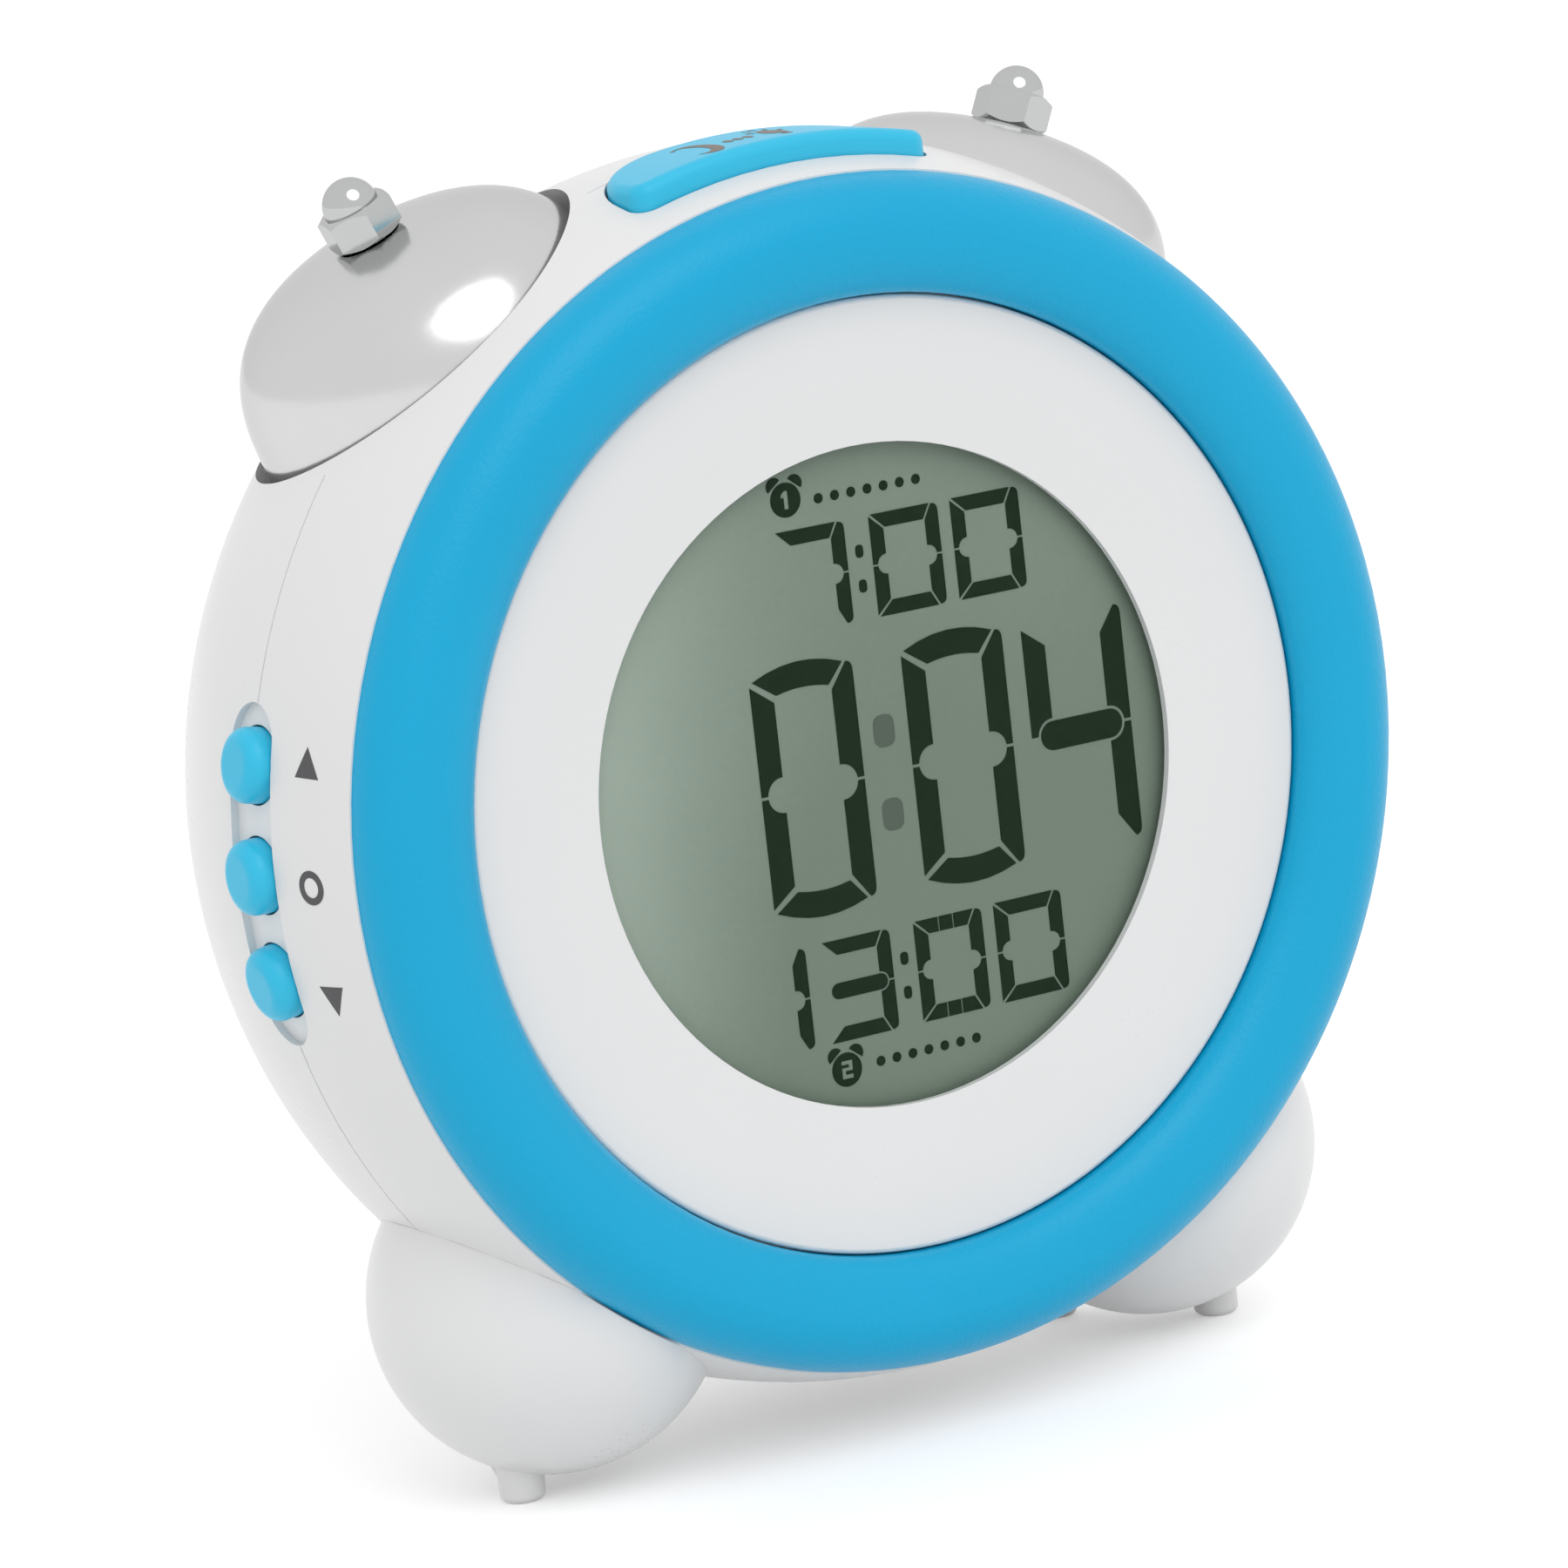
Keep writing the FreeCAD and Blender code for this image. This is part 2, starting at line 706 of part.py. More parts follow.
def backlight_leds():
    """four small light sources at the rim of the light guide"""
    middle_y = (guide_front_y + guide_back_y) / 2
    leds = []
    for angle in (0, 90, 180, 45 + 180):
        block = box(frame_inner_r - face_gap - led_depth, frame_inner_r - face_gap,
                    middle_y - led_height / 2, middle_y + led_height / 2, -led_width / 2, led_width / 2)
        block.rotate(Vector(0, 0, 0), Vector(0, 1, 0), -angle)
        leds.append(block)
    return leds


def tact_switch(angle):
    """a push switch on the board's back that faces outward at an angle"""
    body = box(board_r - tact_height, board_r, board_back_y, board_back_y + tact_side,
               -tact_side / 2, tact_side / 2)
    knob = Part.makeCylinder(tact_knob_r, tact_knob_height + tact_knob_r, Vector(board_r - tact_knob_r, 0, 0),
                             Vector(1, 0, 0))
    knob.translate(Vector(0, board_back_y + tact_side / 2, 0))
    switch = joined(body, [knob])
    switch.rotate(Vector(0, 0, 0), Vector(0, 1, 0), -angle)
    return switch


def side_button(angle):
    """round push button with a flange behind the case and a stem to its switch"""
    flange_top = barrel_r(button_y) - channel_depth - pad_thickness - run_gap
    flange_base = flange_top - button_flange_height
    stem_end = board_r + tact_knob_height + button_travel + face_gap
    head = radial_cylinder(angle, button_y, button_r, flange_base, button_top_r)
    top_edges = [e for e in head.Edges
                 if e.BoundBox.Center.sub(Vector(0, button_y, 0)).Length > button_top_r - button_proud / 2
                 and len(e.Vertexes) == 1]
    head = head.makeFillet(button_round, top_edges)
    stem_y = board_back_y + tact_side / 2
    return joined(head, [radial_cylinder(angle, button_y, button_flange_r, flange_base, flange_top),
                         radial_cylinder(angle, stem_y, button_stem_r, stem_end, flange_top)])


def snooze_bar():
    """press bar with a round top, a skirt, a retaining flange and a post"""
    skirt_depth = wall + run_gap + bar_flange
    solid = ring(0, bar_top_r, 0, rear_wall_y).common(bar_outline(0))
    top_edges = [e for e in solid.Edges if e.BoundBox.ZMin > barrel_r(bar_front_y)]
    shape = solid.makeFillet(bar_top_round, top_edges).cut(skin(-skirt_depth))
    hollow = ring(0, bar_top_r - bar_skin, 0, rear_wall_y).common(bar_outline(-bar_skirt))
    shape = shape.cut(hollow)
    flange = skin(-wall - run_gap).cut(skin(-skirt_depth)).common(bar_outline(bar_flange + run_gap))
    flange = flange.cut([bar_outline(-bar_skirt), ring(0, cut_r, 0, front_wall_y + run_gap)])
    for side in (-1, 1):
        cup = pocket_clear(side)
        pressed = pocket_clear(side)
        pressed.translate(Vector(0, 0, bar_travel + fit_gap))
        flange = flange.cut([cup, pressed])
    post_y = board_back_y + tact_side / 2
    post_low = board_r + tact_knob_height + bar_travel + face_gap
    stem = Part.makeCylinder(bar_post_r, bar_top_r - bar_skin / 2 - post_low,
                             Vector(0, post_y, post_low), Vector(0, 0, 1))
    return joined(shape, [flange, stem])


def bell():
    """thin sheet bell with a hole at its crown"""
    rim_r = bell_r + bell_flare
    outer = dome(bell_r, bell_shoulder_drop, rim_r, bell_height)
    inner = dome(bell_r - bell_sheet, bell_shoulder_drop - bell_sheet, rim_r - bell_sheet, bell_height)
    inner.translate(Vector(0, 0, -bell_sheet))
    hole = Part.makeCylinder(stud_r + stud_hole_gap, 2 * bell_sheet + 1, Vector(0, 0, -2 * bell_sheet))
    return outer.cut(inner).cut(hole)


def cap_nut():
    """domed nut on top of the stud, with a chamfered hexagon"""
    hexa = chamfered_hexagon(cap_hex_height, nut_height)
    dome_z = nut_height + cap_hex_height
    ball = Part.makeSphere(cap_dome_r, Vector(0, 0, dome_z))
    ball = ball.common(Part.makeCylinder(cap_dome_r, 2 * cap_dome_r, Vector(0, 0, dome_z - cap_dome_sink)))
    bore = Part.makeCylinder(stud_r, cap_hex_height + cap_dome_r / 2, Vector(0, 0, nut_height))
    return joined(hexa, [ball]).cut(bore)


def lock_nut():
    """plain nut that clamps the bell"""
    return chamfered_hexagon(nut_height, 0).cut(Part.makeCylinder(stud_r, nut_height))


def chamfered_hexagon(height, base):
    """a hexagon whose corners are turned off at both ends"""
    corner_r = nut_across_flats / math.sqrt(3.0)
    flat_r = nut_across_flats / 2
    fall = (corner_r - flat_r) * 0.75
    edges = polyline([(0, base), (flat_r, base), (corner_r, base + fall), (corner_r, base + height - fall),
                      (flat_r, base + height), (0, base + height), (0, base)])
    turned = spun(edges)
    turned.rotate(Vector(0, 0, 0), Vector(1, 0, 0), 90)
    return hexagon(nut_across_flats, height, base).common(turned)


def bell_stud():
    """threaded stud with a head under the pocket's floor"""
    floor_under = bell_height + pocket_floor_gap + pocket_floor
    head_r = 2 * stud_r
    shank_top = nut_height + cap_hex_height + cap_dome_r / 2
    shank = Part.makeCylinder(stud_r - face_gap / 2, floor_under + shank_top, Vector(0, 0, -floor_under))
    head = Part.makeCylinder(head_r, stud_tail / 2, Vector(0, 0, -floor_under - stud_tail / 2))
    return joined(shank, [head])


def bell_spacer():
    """tube between the pocket's floor and the bell's crown"""
    height = bell_height + pocket_floor_gap - bell_sheet
    base = Vector(0, 0, -bell_height - pocket_floor_gap)
    tube = Part.makeCylinder(spacer_r, height, base)
    sheet_inside = dome(bell_r - bell_sheet, bell_shoulder_drop - bell_sheet,
                        bell_r + bell_flare - bell_sheet, 2 * bell_height)
    sheet_inside.translate(Vector(0, 0, -bell_sheet - screw_gap))
    return tube.common(sheet_inside).cut(Part.makeCylinder(stud_r + face_gap, height, base))


def foot(side):
    """hollow round foot on the barrel, with a front nub and its fin, and a rear nub"""
    centre = Vector(side * foot_x, foot_y, foot_z)
    ball = Part.makeSphere(foot_r, centre)
    nubs = [round_nub(side * nub_x, nub_y, True), round_nub(side * rear_nub_x, rear_nub_y, False)]
    body = joined(ball, nubs)
    body = body.cut(Part.makeSphere(foot_r - foot_wall, centre))
    boss = radial_cylinder(foot_angle(side), foot_screw_y, foot_boss_r,
                           barrel_r(foot_screw_y, -wall), foot_boss_end_r)
    boss = boss.common(ball)
    body = joined(body, [boss]).cut([barrel(), ring(0, ring_outer_r + fit_gap, ring_crest_y - wall,
                                                    front_seam_y + fit_gap)])
    pilot = radial_cylinder(foot_angle(side), foot_screw_y, small_screw_r + screw_gap,
                            barrel_r(foot_screw_y, -wall), foot_boss_end_r - foot_wall)
    return body.cut(pilot)


def round_nub(x, y, with_fin):
    """short round stub under a foot, with a rounded tip"""
    low = -dial_height
    nub = Part.makeCylinder(nub_r, nub_height, Vector(x, y, low))
    tip = [e for e in nub.Edges if e.BoundBox.ZMax < low + 0.1]
    nub = nub.makeFillet(nub_round, tip)
    if not with_fin:
        return nub
    points = [Vector(0, y, low + nub_round), Vector(0, y + nub_r, low + nub_round),
              Vector(0, y + nub_r + fin_length, low + fin_rise + nub_round),
              Vector(0, y + nub_r + fin_length, low + nub_height), Vector(0, y, low + nub_height),
              Vector(0, y, low + nub_round)]
    fin = Part.Face(Part.makePolygon(points)).extrude(Vector(2 * nub_round, 0, 0))
    fin.translate(Vector(x - nub_round, 0, 0))
    return joined(nub, [fin])


def battery_door():
    """lid with two hinge tabs at its foot, inner ribs and a thumb dish"""
    plate = rounded_plate(door_half_x, door_low_z, door_high_z, rear_wall_y, rear_face_y, door_corner)
    thumb = Part.makeSphere(thumb_r * 2, Vector(0, rear_face_y + thumb_r * 2 - thumb_depth,
                                                 door_high_z - thumb_r))
    plate = plate.cut(thumb)
    extras = []
    for side in (-1, 1):
        x0 = side * tab_x - tab_width / 2
        x1 = side * tab_x + tab_width / 2
        outer_y = rear_wall_y - run_gap
        neck_top = tub_centre_z - tub_half_z + tub_wall - run_gap
        extras.append(box(x0, x1, outer_y - tab_thickness, outer_y, door_low_z - tab_reach, neck_top))
        extras.append(box(x0, x1, outer_y - tab_thickness, rear_wall_y, door_low_z + run_gap, neck_top))
    return joined(plate, extras)


def cell(x):
    """one AA cell standing on its flat end"""
    centre_y = tub_floor_y + cell_r + face_gap
    low = tub_centre_z - (cell_length + cell_tip) / 2
    can = Part.makeCylinder(cell_r, cell_length, Vector(x, centre_y, low))
    tip = Part.makeCylinder(cell_tip_r, cell_tip, Vector(x, centre_y, low + cell_length))
    return joined(can, [tip])


body = case_body()
save("front_shell", front_shell(body))
save("rear_shell", rear_shell(body))
save("bezel_ring", bezel_ring())
save("dial_dish", dial_dish())
save("display_window", ring(0, window_r, lip_back_y, window_back_y))
save("lcd_glass", ring(0, window_r, lcd_front_y, lcd_back_y))

above_flat = box(-board_r, board_r, 0, rear_face_y, guide_flat_z, board_r)
leds = backlight_leds()
led_notches = [led.makeOffsetShape(face_gap, 1e-3) for led in leds]
guide = ring(0, guide_r, guide_front_y, guide_back_y).common(above_flat)
save("light_guide", guide.cut(led_notches))
save("backlight_leds", Part.makeCompound(leds))
save("reflector_sheet", ring(0, window_r, guide_back_y, reflector_back_y).common(above_flat))
save("lcd_frame", lcd_frame())
save("zebra_strip", zebra_block(0))
save("frame_screws", Part.makeCompound([
    screw(x, z, small_screw_r, front_wall_y + wall, frame_back_y, small_head_r, small_head_height)
    for x, z in ear_places]))

board = ring(0, board_r, frame_back_y, board_back_y)
save("main_board", board.cut([post(x, z, small_screw_r + fit_gap, frame_back_y, board_back_y)
                              for x, z in board_screw_places]))
save("board_screws", Part.makeCompound([
    screw(x, z, small_screw_r, guide_front_y + face_gap, board_back_y, small_head_r, small_head_height)
    for x, z in board_screw_places]))
blob_ball_r = (blob_r ** 2 + blob_height ** 2) / (2 * blob_height)
blob = Part.makeSphere(blob_ball_r, Vector(0, board_back_y + blob_height - blob_ball_r, 0))
blob = blob.common(ring(0, 2 * blob_r, board_back_y, board_back_y + 2 * blob_height))
save("controller_blob", blob)
crystal = Part.makeCylinder(crystal_r, crystal_length,
                            Vector(2 * blob_r, board_back_y + crystal_r, 0), Vector(1, 0, 0))
save("quartz_crystal", crystal)
capacitor = post(-3 * capacitor_r, -2 * capacitor_r, capacitor_r, board_back_y,
                 board_back_y + capacitor_height)
save("filter_capacitor", capacitor.makeFillet(capacitor_r / 6, capacitor.Edges[:1]))
socket_z = 3 * socket_depth
socket_places = [-2 * socket_width, 2 * socket_width]
sockets = [box(x - socket_width / 2, x + socket_width / 2, board_back_y, board_back_y + socket_height,
               socket_z, socket_z + socket_depth) for x in socket_places]
save("wire_sockets", Part.makeCompound(sockets))
save("tact_switches", Part.makeCompound([tact_switch(a) for a in [90.0] + list(button_angles.values())]))

for name, angle in button_angles.items():
    save(name, side_button(angle))
save("snooze_bar", snooze_bar())

for name, side in (("bell_left", -1), ("bell_right", 1)):
    save(name, at_bell(bell(), side))
save("bell_spacers", on_both_bells(bell_spacer()))
save("bell_studs", on_both_bells(bell_stud()))
save("lock_nuts", on_both_bells(lock_nut()))
save("cap_nuts", on_both_bells(cap_nut()))

for name, side in (("foot_left", -1), ("foot_right", 1)):
    save(name, foot(side))
foot_screws = []
for side in (-1, 1):
    seat_r = barrel_r(foot_screw_y, -wall) - small_head_height / 2
    shank = radial_cylinder(foot_angle(side), foot_screw_y, small_screw_r, seat_r,
                            barrel_r(foot_screw_y) + 3 * foot_wall)
    head = radial_cylinder(foot_angle(side), foot_screw_y, small_head_r, seat_r - small_head_height, seat_r)
    foot_screws.append(joined(shank, [head]))
save("foot_screws", Part.makeCompound(foot_screws))
save("case_screws", Part.makeCompound([
    screw(x, z, case_screw_r, screw_tip_y, rear_face_y - well_depth, case_head_r, case_head_height)
    for x, z in case_screw_places]))

save("battery_door", battery_door())
cell_places = [(i - (cell_count - 1) / 2) * cell_pitch for i in range(cell_count)]
save("batteries", Part.makeCompound([cell(x) for x in cell_places]))
plates = []
springs = []
for x in cell_places:
    y = tub_floor_y + cell_r + face_gap
    top_z = tub_centre_z + tub_half_z
    low_z = tub_centre_z - tub_half_z
    half = plate_side / 2
    stop = tub_centre_z + (cell_length + cell_tip) / 2
    plates.append(joined(box(x - half, x + half, y - half, y + half, top_z - plate_thickness, top_z),
                         [Part.makeCylinder(cell_tip_r, top_z - stop - face_gap,
                                            Vector(x, y, stop + face_gap))]))
    plates.append(box(x - half, x + half, y - half, y + half, low_z, low_z + plate_thickness))
    cell_low = tub_centre_z - (cell_length + cell_tip) / 2
    springs.append(Part.makeCone(spring_r, spring_tip_r, cell_low - low_z - plate_thickness - face_gap,
                                 Vector(x, y, low_z + plate_thickness)))
save("battery_plates", Part.makeCompound(plates))
save("battery_springs", Part.makeCompound(springs))

speaker = post(0, sounder_z, sounder_r, rear_wall_y - sounder_thickness, rear_wall_y - face_gap)
save("sounder_frame", speaker)
magnet_y = rear_wall_y - sounder_thickness
save("sounder_magnet", post(0, sounder_z, magnet_r, magnet_y - magnet_thickness, magnet_y))

# The leads leave their contacts, run beside the tub and end at the sockets on the board
socket_end_y = board_back_y + socket_height
tub_front_y = tub_floor_y - tub_wall
lead_y = (socket_end_y + tub_front_y) / 2
for name, x, x_end in (("battery_lead_red", socket_places[1], 1), ("battery_lead_black", socket_places[0], -1)):
    side_x = x_end * (door_half_x + tub_wall + lead_r + fit_gap)
    plate_z = tub_centre_z + tub_half_z - lead_droop
    save(name, lead([(x, socket_end_y, socket_z + socket_depth / 2),
                     (x, lead_y, socket_z + socket_depth / 2),
                     (side_x, lead_y + lead_spread, plate_z - lead_droop),
                     (side_x, tub_floor_y + lead_droop, plate_z - lead_droop)], lead_r))
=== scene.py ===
"""Studio scene of a round digital alarm clock with two bells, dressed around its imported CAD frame."""

from __future__ import annotations

import logging
import math
from dataclasses import dataclass
from enum import Enum
from typing import Any, Callable, Sequence

import bpy
from mathutils import Matrix, Vector

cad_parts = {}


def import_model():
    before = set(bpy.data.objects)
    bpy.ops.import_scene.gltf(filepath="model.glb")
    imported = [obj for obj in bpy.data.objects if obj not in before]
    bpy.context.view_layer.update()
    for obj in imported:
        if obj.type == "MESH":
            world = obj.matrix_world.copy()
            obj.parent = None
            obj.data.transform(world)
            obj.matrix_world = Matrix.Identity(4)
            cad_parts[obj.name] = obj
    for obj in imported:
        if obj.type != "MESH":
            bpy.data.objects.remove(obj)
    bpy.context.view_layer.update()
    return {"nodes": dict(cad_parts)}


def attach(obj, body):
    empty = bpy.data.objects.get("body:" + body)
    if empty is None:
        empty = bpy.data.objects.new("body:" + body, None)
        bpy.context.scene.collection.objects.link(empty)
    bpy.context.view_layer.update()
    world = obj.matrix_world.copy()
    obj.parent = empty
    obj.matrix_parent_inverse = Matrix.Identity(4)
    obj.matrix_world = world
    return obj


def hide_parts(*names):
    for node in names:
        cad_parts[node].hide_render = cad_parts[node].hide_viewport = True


LOG = logging.getLogger("clock")

Point2 = tuple[float, float]
Colour = tuple[float, float, float]

MM = 0.001
DIAL_HEIGHT = 67.6
DEPTH_SHIFT = -23.35
ROOT = "root"
WELD = 1e-6
FULL_TURN = 2 * math.pi


def dial(x: float, y: float, z: float) -> Vector:
    """A point in the row frame.

    Args:
        x: millimetres to the right of the dial's axis, seen from the front.
        y: millimetres behind the inner edge of the blue ring.
        z: millimetres above the dial's axis.

    Returns:
        The point in metres.
    """
    return Vector((x, y + DEPTH_SHIFT, z + DIAL_HEIGHT)) * MM


class Slot(Enum):
    """The record's material slots."""

    WHITE = "white_case"
    BLUE = "blue_plastic"
    WINDOW = "clear_window"
    LCD = "lcd_glass"
    CHROME = "bell_chrome"
    STEEL = "plated_steel"
    CELL = "cell_jacket"


# Modelling, as by hand


class Bench:
    """Operators that every sub-assembly models with."""

    @staticmethod
    def clear() -> None:
        """Leaves edit mode and deselects everything."""
        if bpy.context.object and bpy.context.object.mode != "OBJECT":
            bpy.ops.object.mode_set(mode="OBJECT")
        bpy.ops.object.select_all(action="DESELECT")

    @staticmethod
    def pick(*objects: bpy.types.Object) -> None:
        """Selects only these objects, the first one active.

        Args:
            objects: what to select.
        """
        Bench.clear()
        for thing in objects:
            thing.select_set(True)
        bpy.context.view_layer.objects.active = objects[0]

    @staticmethod
    def outline(points: Sequence[Vector], filled: bool) -> bpy.types.Object:
        """A closed loop of vertices through points, made from a circle primitive.

        Args:
            points: the corners in order, in the row frame.
            filled: whether one face spans the loop.

        Returns:
            The new object, at the origin.
        """
        Bench.clear()
        fill = "NGON" if filled else "NOTHING"
        bpy.ops.mesh.primitive_circle_add(vertices=len(points), radius=MM, fill_type=fill)
        loop = bpy.context.object
        for vertex, point in zip(loop.data.vertices, points):
            vertex.co = point
        return loop

    @staticmethod
    def edit(thing: bpy.types.Object) -> None:
        """Opens an object in edit mode with all of it selected.

        Args:
            thing: the object.
        """
        Bench.pick(thing)
        bpy.ops.object.mode_set(mode="EDIT")
        bpy.ops.mesh.select_all(action="SELECT")

    @staticmethod
    def close() -> None:
        """Merges doubles, points the faces outwards and leaves edit mode."""
        bpy.ops.mesh.select_all(action="SELECT")
        bpy.ops.mesh.remove_doubles(threshold=WELD)
        bpy.ops.mesh.dissolve_degenerate(threshold=WELD)
        bpy.ops.mesh.normals_make_consistent(inside=False)
        bpy.ops.object.mode_set(mode="OBJECT")

    @staticmethod
    def spun(profile: Sequence[Vector], centre: Vector, axis: Vector, steps: int) -> bpy.types.Object:
        """A closed profile turned a full turn about an axis.

        Args:
            profile: the profile's corners in order.
            centre: a point on the axis.
            axis: the axis' direction.
            steps: how many steps the turn has.

        Returns:
            The turned object.
        """
        thing = Bench.outline(profile, filled=False)
        Bench.edit(thing)
        bpy.ops.mesh.spin(steps=steps, angle=FULL_TURN, center=centre, axis=axis, use_auto_merge=True)
        Bench.close()
        return thing

    @staticmethod
    def plate(points: Sequence[Vector], lift: Vector) -> bpy.types.Object:
        """A flat outline extruded into a thin plate.

        Args:
            points: the outline in order.
            lift: how far and which way it is extruded.

        Returns:
            The plate.
        """
        thing = Bench.outline(points, filled=True)
        Bench.edit(thing)
        bpy.ops.mesh.extrude_region_move(TRANSFORM_OT_translate={"value": lift})
        Bench.close()
        return thing

    @staticmethod
    def joined(things: Sequence[bpy.types.Object]) -> bpy.types.Object:
        """One object with the meshes of several.

        Args:
            things: the objects, which are used up.

        Returns:
            The first of them, with every mesh in it.
        """
        Bench.pick(*things)
        if len(things) > 1:
            bpy.ops.object.join()
        return bpy.context.object

    @staticmethod
    def copied(
        thing: bpy.types.Object, places: Sequence[Vector], tilts: Sequence[float] = ()
    ) -> list[bpy.types.Object]:
        """Copies of a piece modelled at the origin, each with its own mesh.

        Args:
            thing: the piece, which becomes the last copy.
            places: where the copies go.
            tilts: how far each is tilted sideways, in degrees, or nothing for upright copies.

        Returns:
            The copies, with their places in their meshes.
        """
        copies = []
        for i, place in enumerate(places):
            Bench.pick(thing)
            if i < len(places) - 1:
                bpy.ops.object.duplicate(linked=False)
            copy = bpy.context.object
            copy.rotation_euler = (0, math.radians(tilts[i]) if tilts else 0.0, 0)
            copy.location = place
            bpy.ops.object.transform_apply(location=True, rotation=True, scale=True)
            copies.append(copy)
        return copies

    @staticmethod
    def modified(thing: bpy.types.Object, kind: str, **settings: Any) -> bpy.types.Object:
        """Adds a modifier with its settings and applies it.

        Args:
            thing: the object.
            kind: the modifier's type.
            settings: its settings by name.

        Returns:
            The same object.
        """
        Bench.pick(thing)
        modifier = thing.modifiers.new(kind.lower(), kind)
        for key, value in settings.items():
            setattr(modifier, key, value)
        bpy.ops.object.modifier_apply(modifier=modifier.name)
        return thing

    @staticmethod
    def shaped(body: bpy.types.Object, tool: bpy.types.Object, operation: str) -> None:
        """Works a tool into a body and throws the tool away.

        Args:
            body: what is shaped.
            tool: the other solid.
            operation: the Boolean modifier's operation.
        """
        Bench.modified(body, "BOOLEAN", operation=operation, object=tool, solver="EXACT")
        Bench.pick(tool)
        bpy.ops.object.delete()

    @staticmethod
    def finished(
        thing: bpy.types.Object,
        name: str,
        body: str,
        slot: Slot,
        material: bpy.types.Material,
        smooth: float = 35.0,
        replaces: Sequence[str] = (),
    ) -> bpy.types.Object:
        """Names a piece, shades it, dresses it and puts it on its body.

        Args:
            thing: the piece, with its place in its mesh.
            name: the piece's name.
            body: the CAD body that it moves with.
            slot: the record's material slot for the piece; not used.
            material: its material.
            smooth: edges flatter than this angle in degrees are shaded smooth.
            replaces: CAD nodes that it stands for.

        Returns:
            The same piece.
        """
        Bench.pick(thing)
        bpy.ops.object.shade_smooth_by_angle(angle=math.radians(smooth))
        thing.name = name
        thing.data.name = name
        thing.data.materials.clear()
        thing.data.materials.append(material)
        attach(thing, body)
        if replaces:
            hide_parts(*replaces)
        LOG.info("%s rides on %s with %d faces", name, body, len(thing.data.polygons))
        return thing


# Shader maths


@dataclass(frozen=True)
class Signal:
    """A socket in a material that Python's operators work on."""

    painter: Painter
    socket: Any

    def _with(self, operation: str, first: Any, second: Any) -> Signal:
        """One Math node on two values."""
        return self.painter.made("ShaderNodeMath", {"operation": operation}, {0: first, 1: second})

    def __add__(self, other: Any) -> Signal:
        """Sum."""
        return self._with("ADD", self, other)

    __radd__ = __add__

    def __sub__(self, other: Any) -> Signal:
        """Difference."""
        return self._with("SUBTRACT", self, other)

    def __rsub__(self, other: Any) -> Signal:
        """Reflected difference."""
        return self._with("SUBTRACT", other, self)

    def __mul__(self, other: Any) -> Signal:
        """Product."""
        return self._with("MULTIPLY", self, other)

    __rmul__ = __mul__

    def __gt__(self, other: Any) -> Signal:
        """One where the value is greater, and nought elsewhere."""
        return self._with("GREATER_THAN", self, other)

    def max(self, other: Any) -> Signal:
        """The greater of two values."""
        return self._with("MAXIMUM", self, other)


class Painter:
    """Builds one node material around a Principled shader."""

    def __init__(self, name: str) -> None:
        """Starts an empty material.

        Args:
            name: the material's name.
        """
        self.material = bpy.data.materials.new(name)
        self.material.use_nodes = True
        self.tree = self.material.node_tree
        self.shader = self.tree.nodes["Principled BSDF"]

    def made(self, kind: str, settings: dict[str, Any], values: dict[Any, Any], output: Any = 0) -> Signal:
        """One node.

        Args:
            kind: the node's type.
            settings: its own settings, set first.
            values: numbers, colours or signals for its input sockets.
            output: which output socket to return.

        Returns:
            The node's output.
        """
        node = self.tree.nodes.new(kind)
        for key, value in settings.items():
            setattr(node, key, value)
        for key, value in values.items():
            self.plug(node.inputs[key], value)
        return Signal(self, node.outputs[output])

    def plug(self, socket: Any, value: Any) -> None:
        """Gives a socket a number, a colour or a link.

        Args:
            socket: the input socket.
            value: what it gets.
        """
        if isinstance(value, Signal):
            self.tree.links.new(value.socket, socket)
        elif isinstance(value, tuple) and len(value) == 3 and socket.type == "RGBA":
            socket.default_value = (*value, 1.0)
        else:
            socket.default_value = value

    def place(self) -> Signal:
        """The surface point in metres, which is the piece's own coordinates."""
        return self.made("ShaderNodeTexCoord", {}, {}, "Object")

    def along(self, axis: str) -> Signal:
        """One coordinate of the surface point, in metres."""
        return self.made("ShaderNodeSeparateXYZ", {}, {"Vector": self.place()}, axis)

    def noise(self, scale: float, detail: float = 3.0, roughness: float = 0.5) -> Signal:
        """Noise over the surface.

        Args:
            scale: features in each metre.
            detail: octaves.
            roughness: how strong the finer octaves are.

        Returns:
            The noise, about one half.
        """
        return self.made(
            "ShaderNodeTexNoise",
            {},
            {"Vector": self.place(), "Scale": scale, "Detail": detail, "Roughness": roughness},
            "Fac",
        )

    def mixed(self, amount: Any, first: Any, second: Any) -> Signal:
        """A colour between two.

        Args:
            amount: how much of the second.
            first: a colour.
            second: a colour.

        Returns:
            The mixed colour.
        """
        node = self.tree.nodes.new("ShaderNodeMix")
        node.data_type = "RGBA"
        self.plug(node.inputs["Factor"], amount)
        self.plug(node.inputs[6], first)
        self.plug(node.inputs[7], second)
        return Signal(self, node.outputs[2])

    def bump(self, height: Signal, distance: float, strength: float = 1.0) -> None:
        """Roughens the surface's normal.

        Args:
            height: the height field, from 0 to 1.
            distance: how high 1 is, in metres.
            strength: how strong the bump is.
        """
        normal = self.made(
            "ShaderNodeBump", {}, {"Height": height, "Distance": distance, "Strength": strength}, "Normal"
        )
        self.plug(self.shader.inputs["Normal"], normal)

    def dress(self, **values: Any) -> bpy.types.Material:
        """Sets the shader's sockets, whose names have underscores for spaces here.

        Args:
            values: a number, colour or signal for each socket.

        Returns:
            The finished material.
        """
        for key, value in values.items():
            self.plug(self.shader.inputs[key.replace("_", " ")], value)
        return self.material


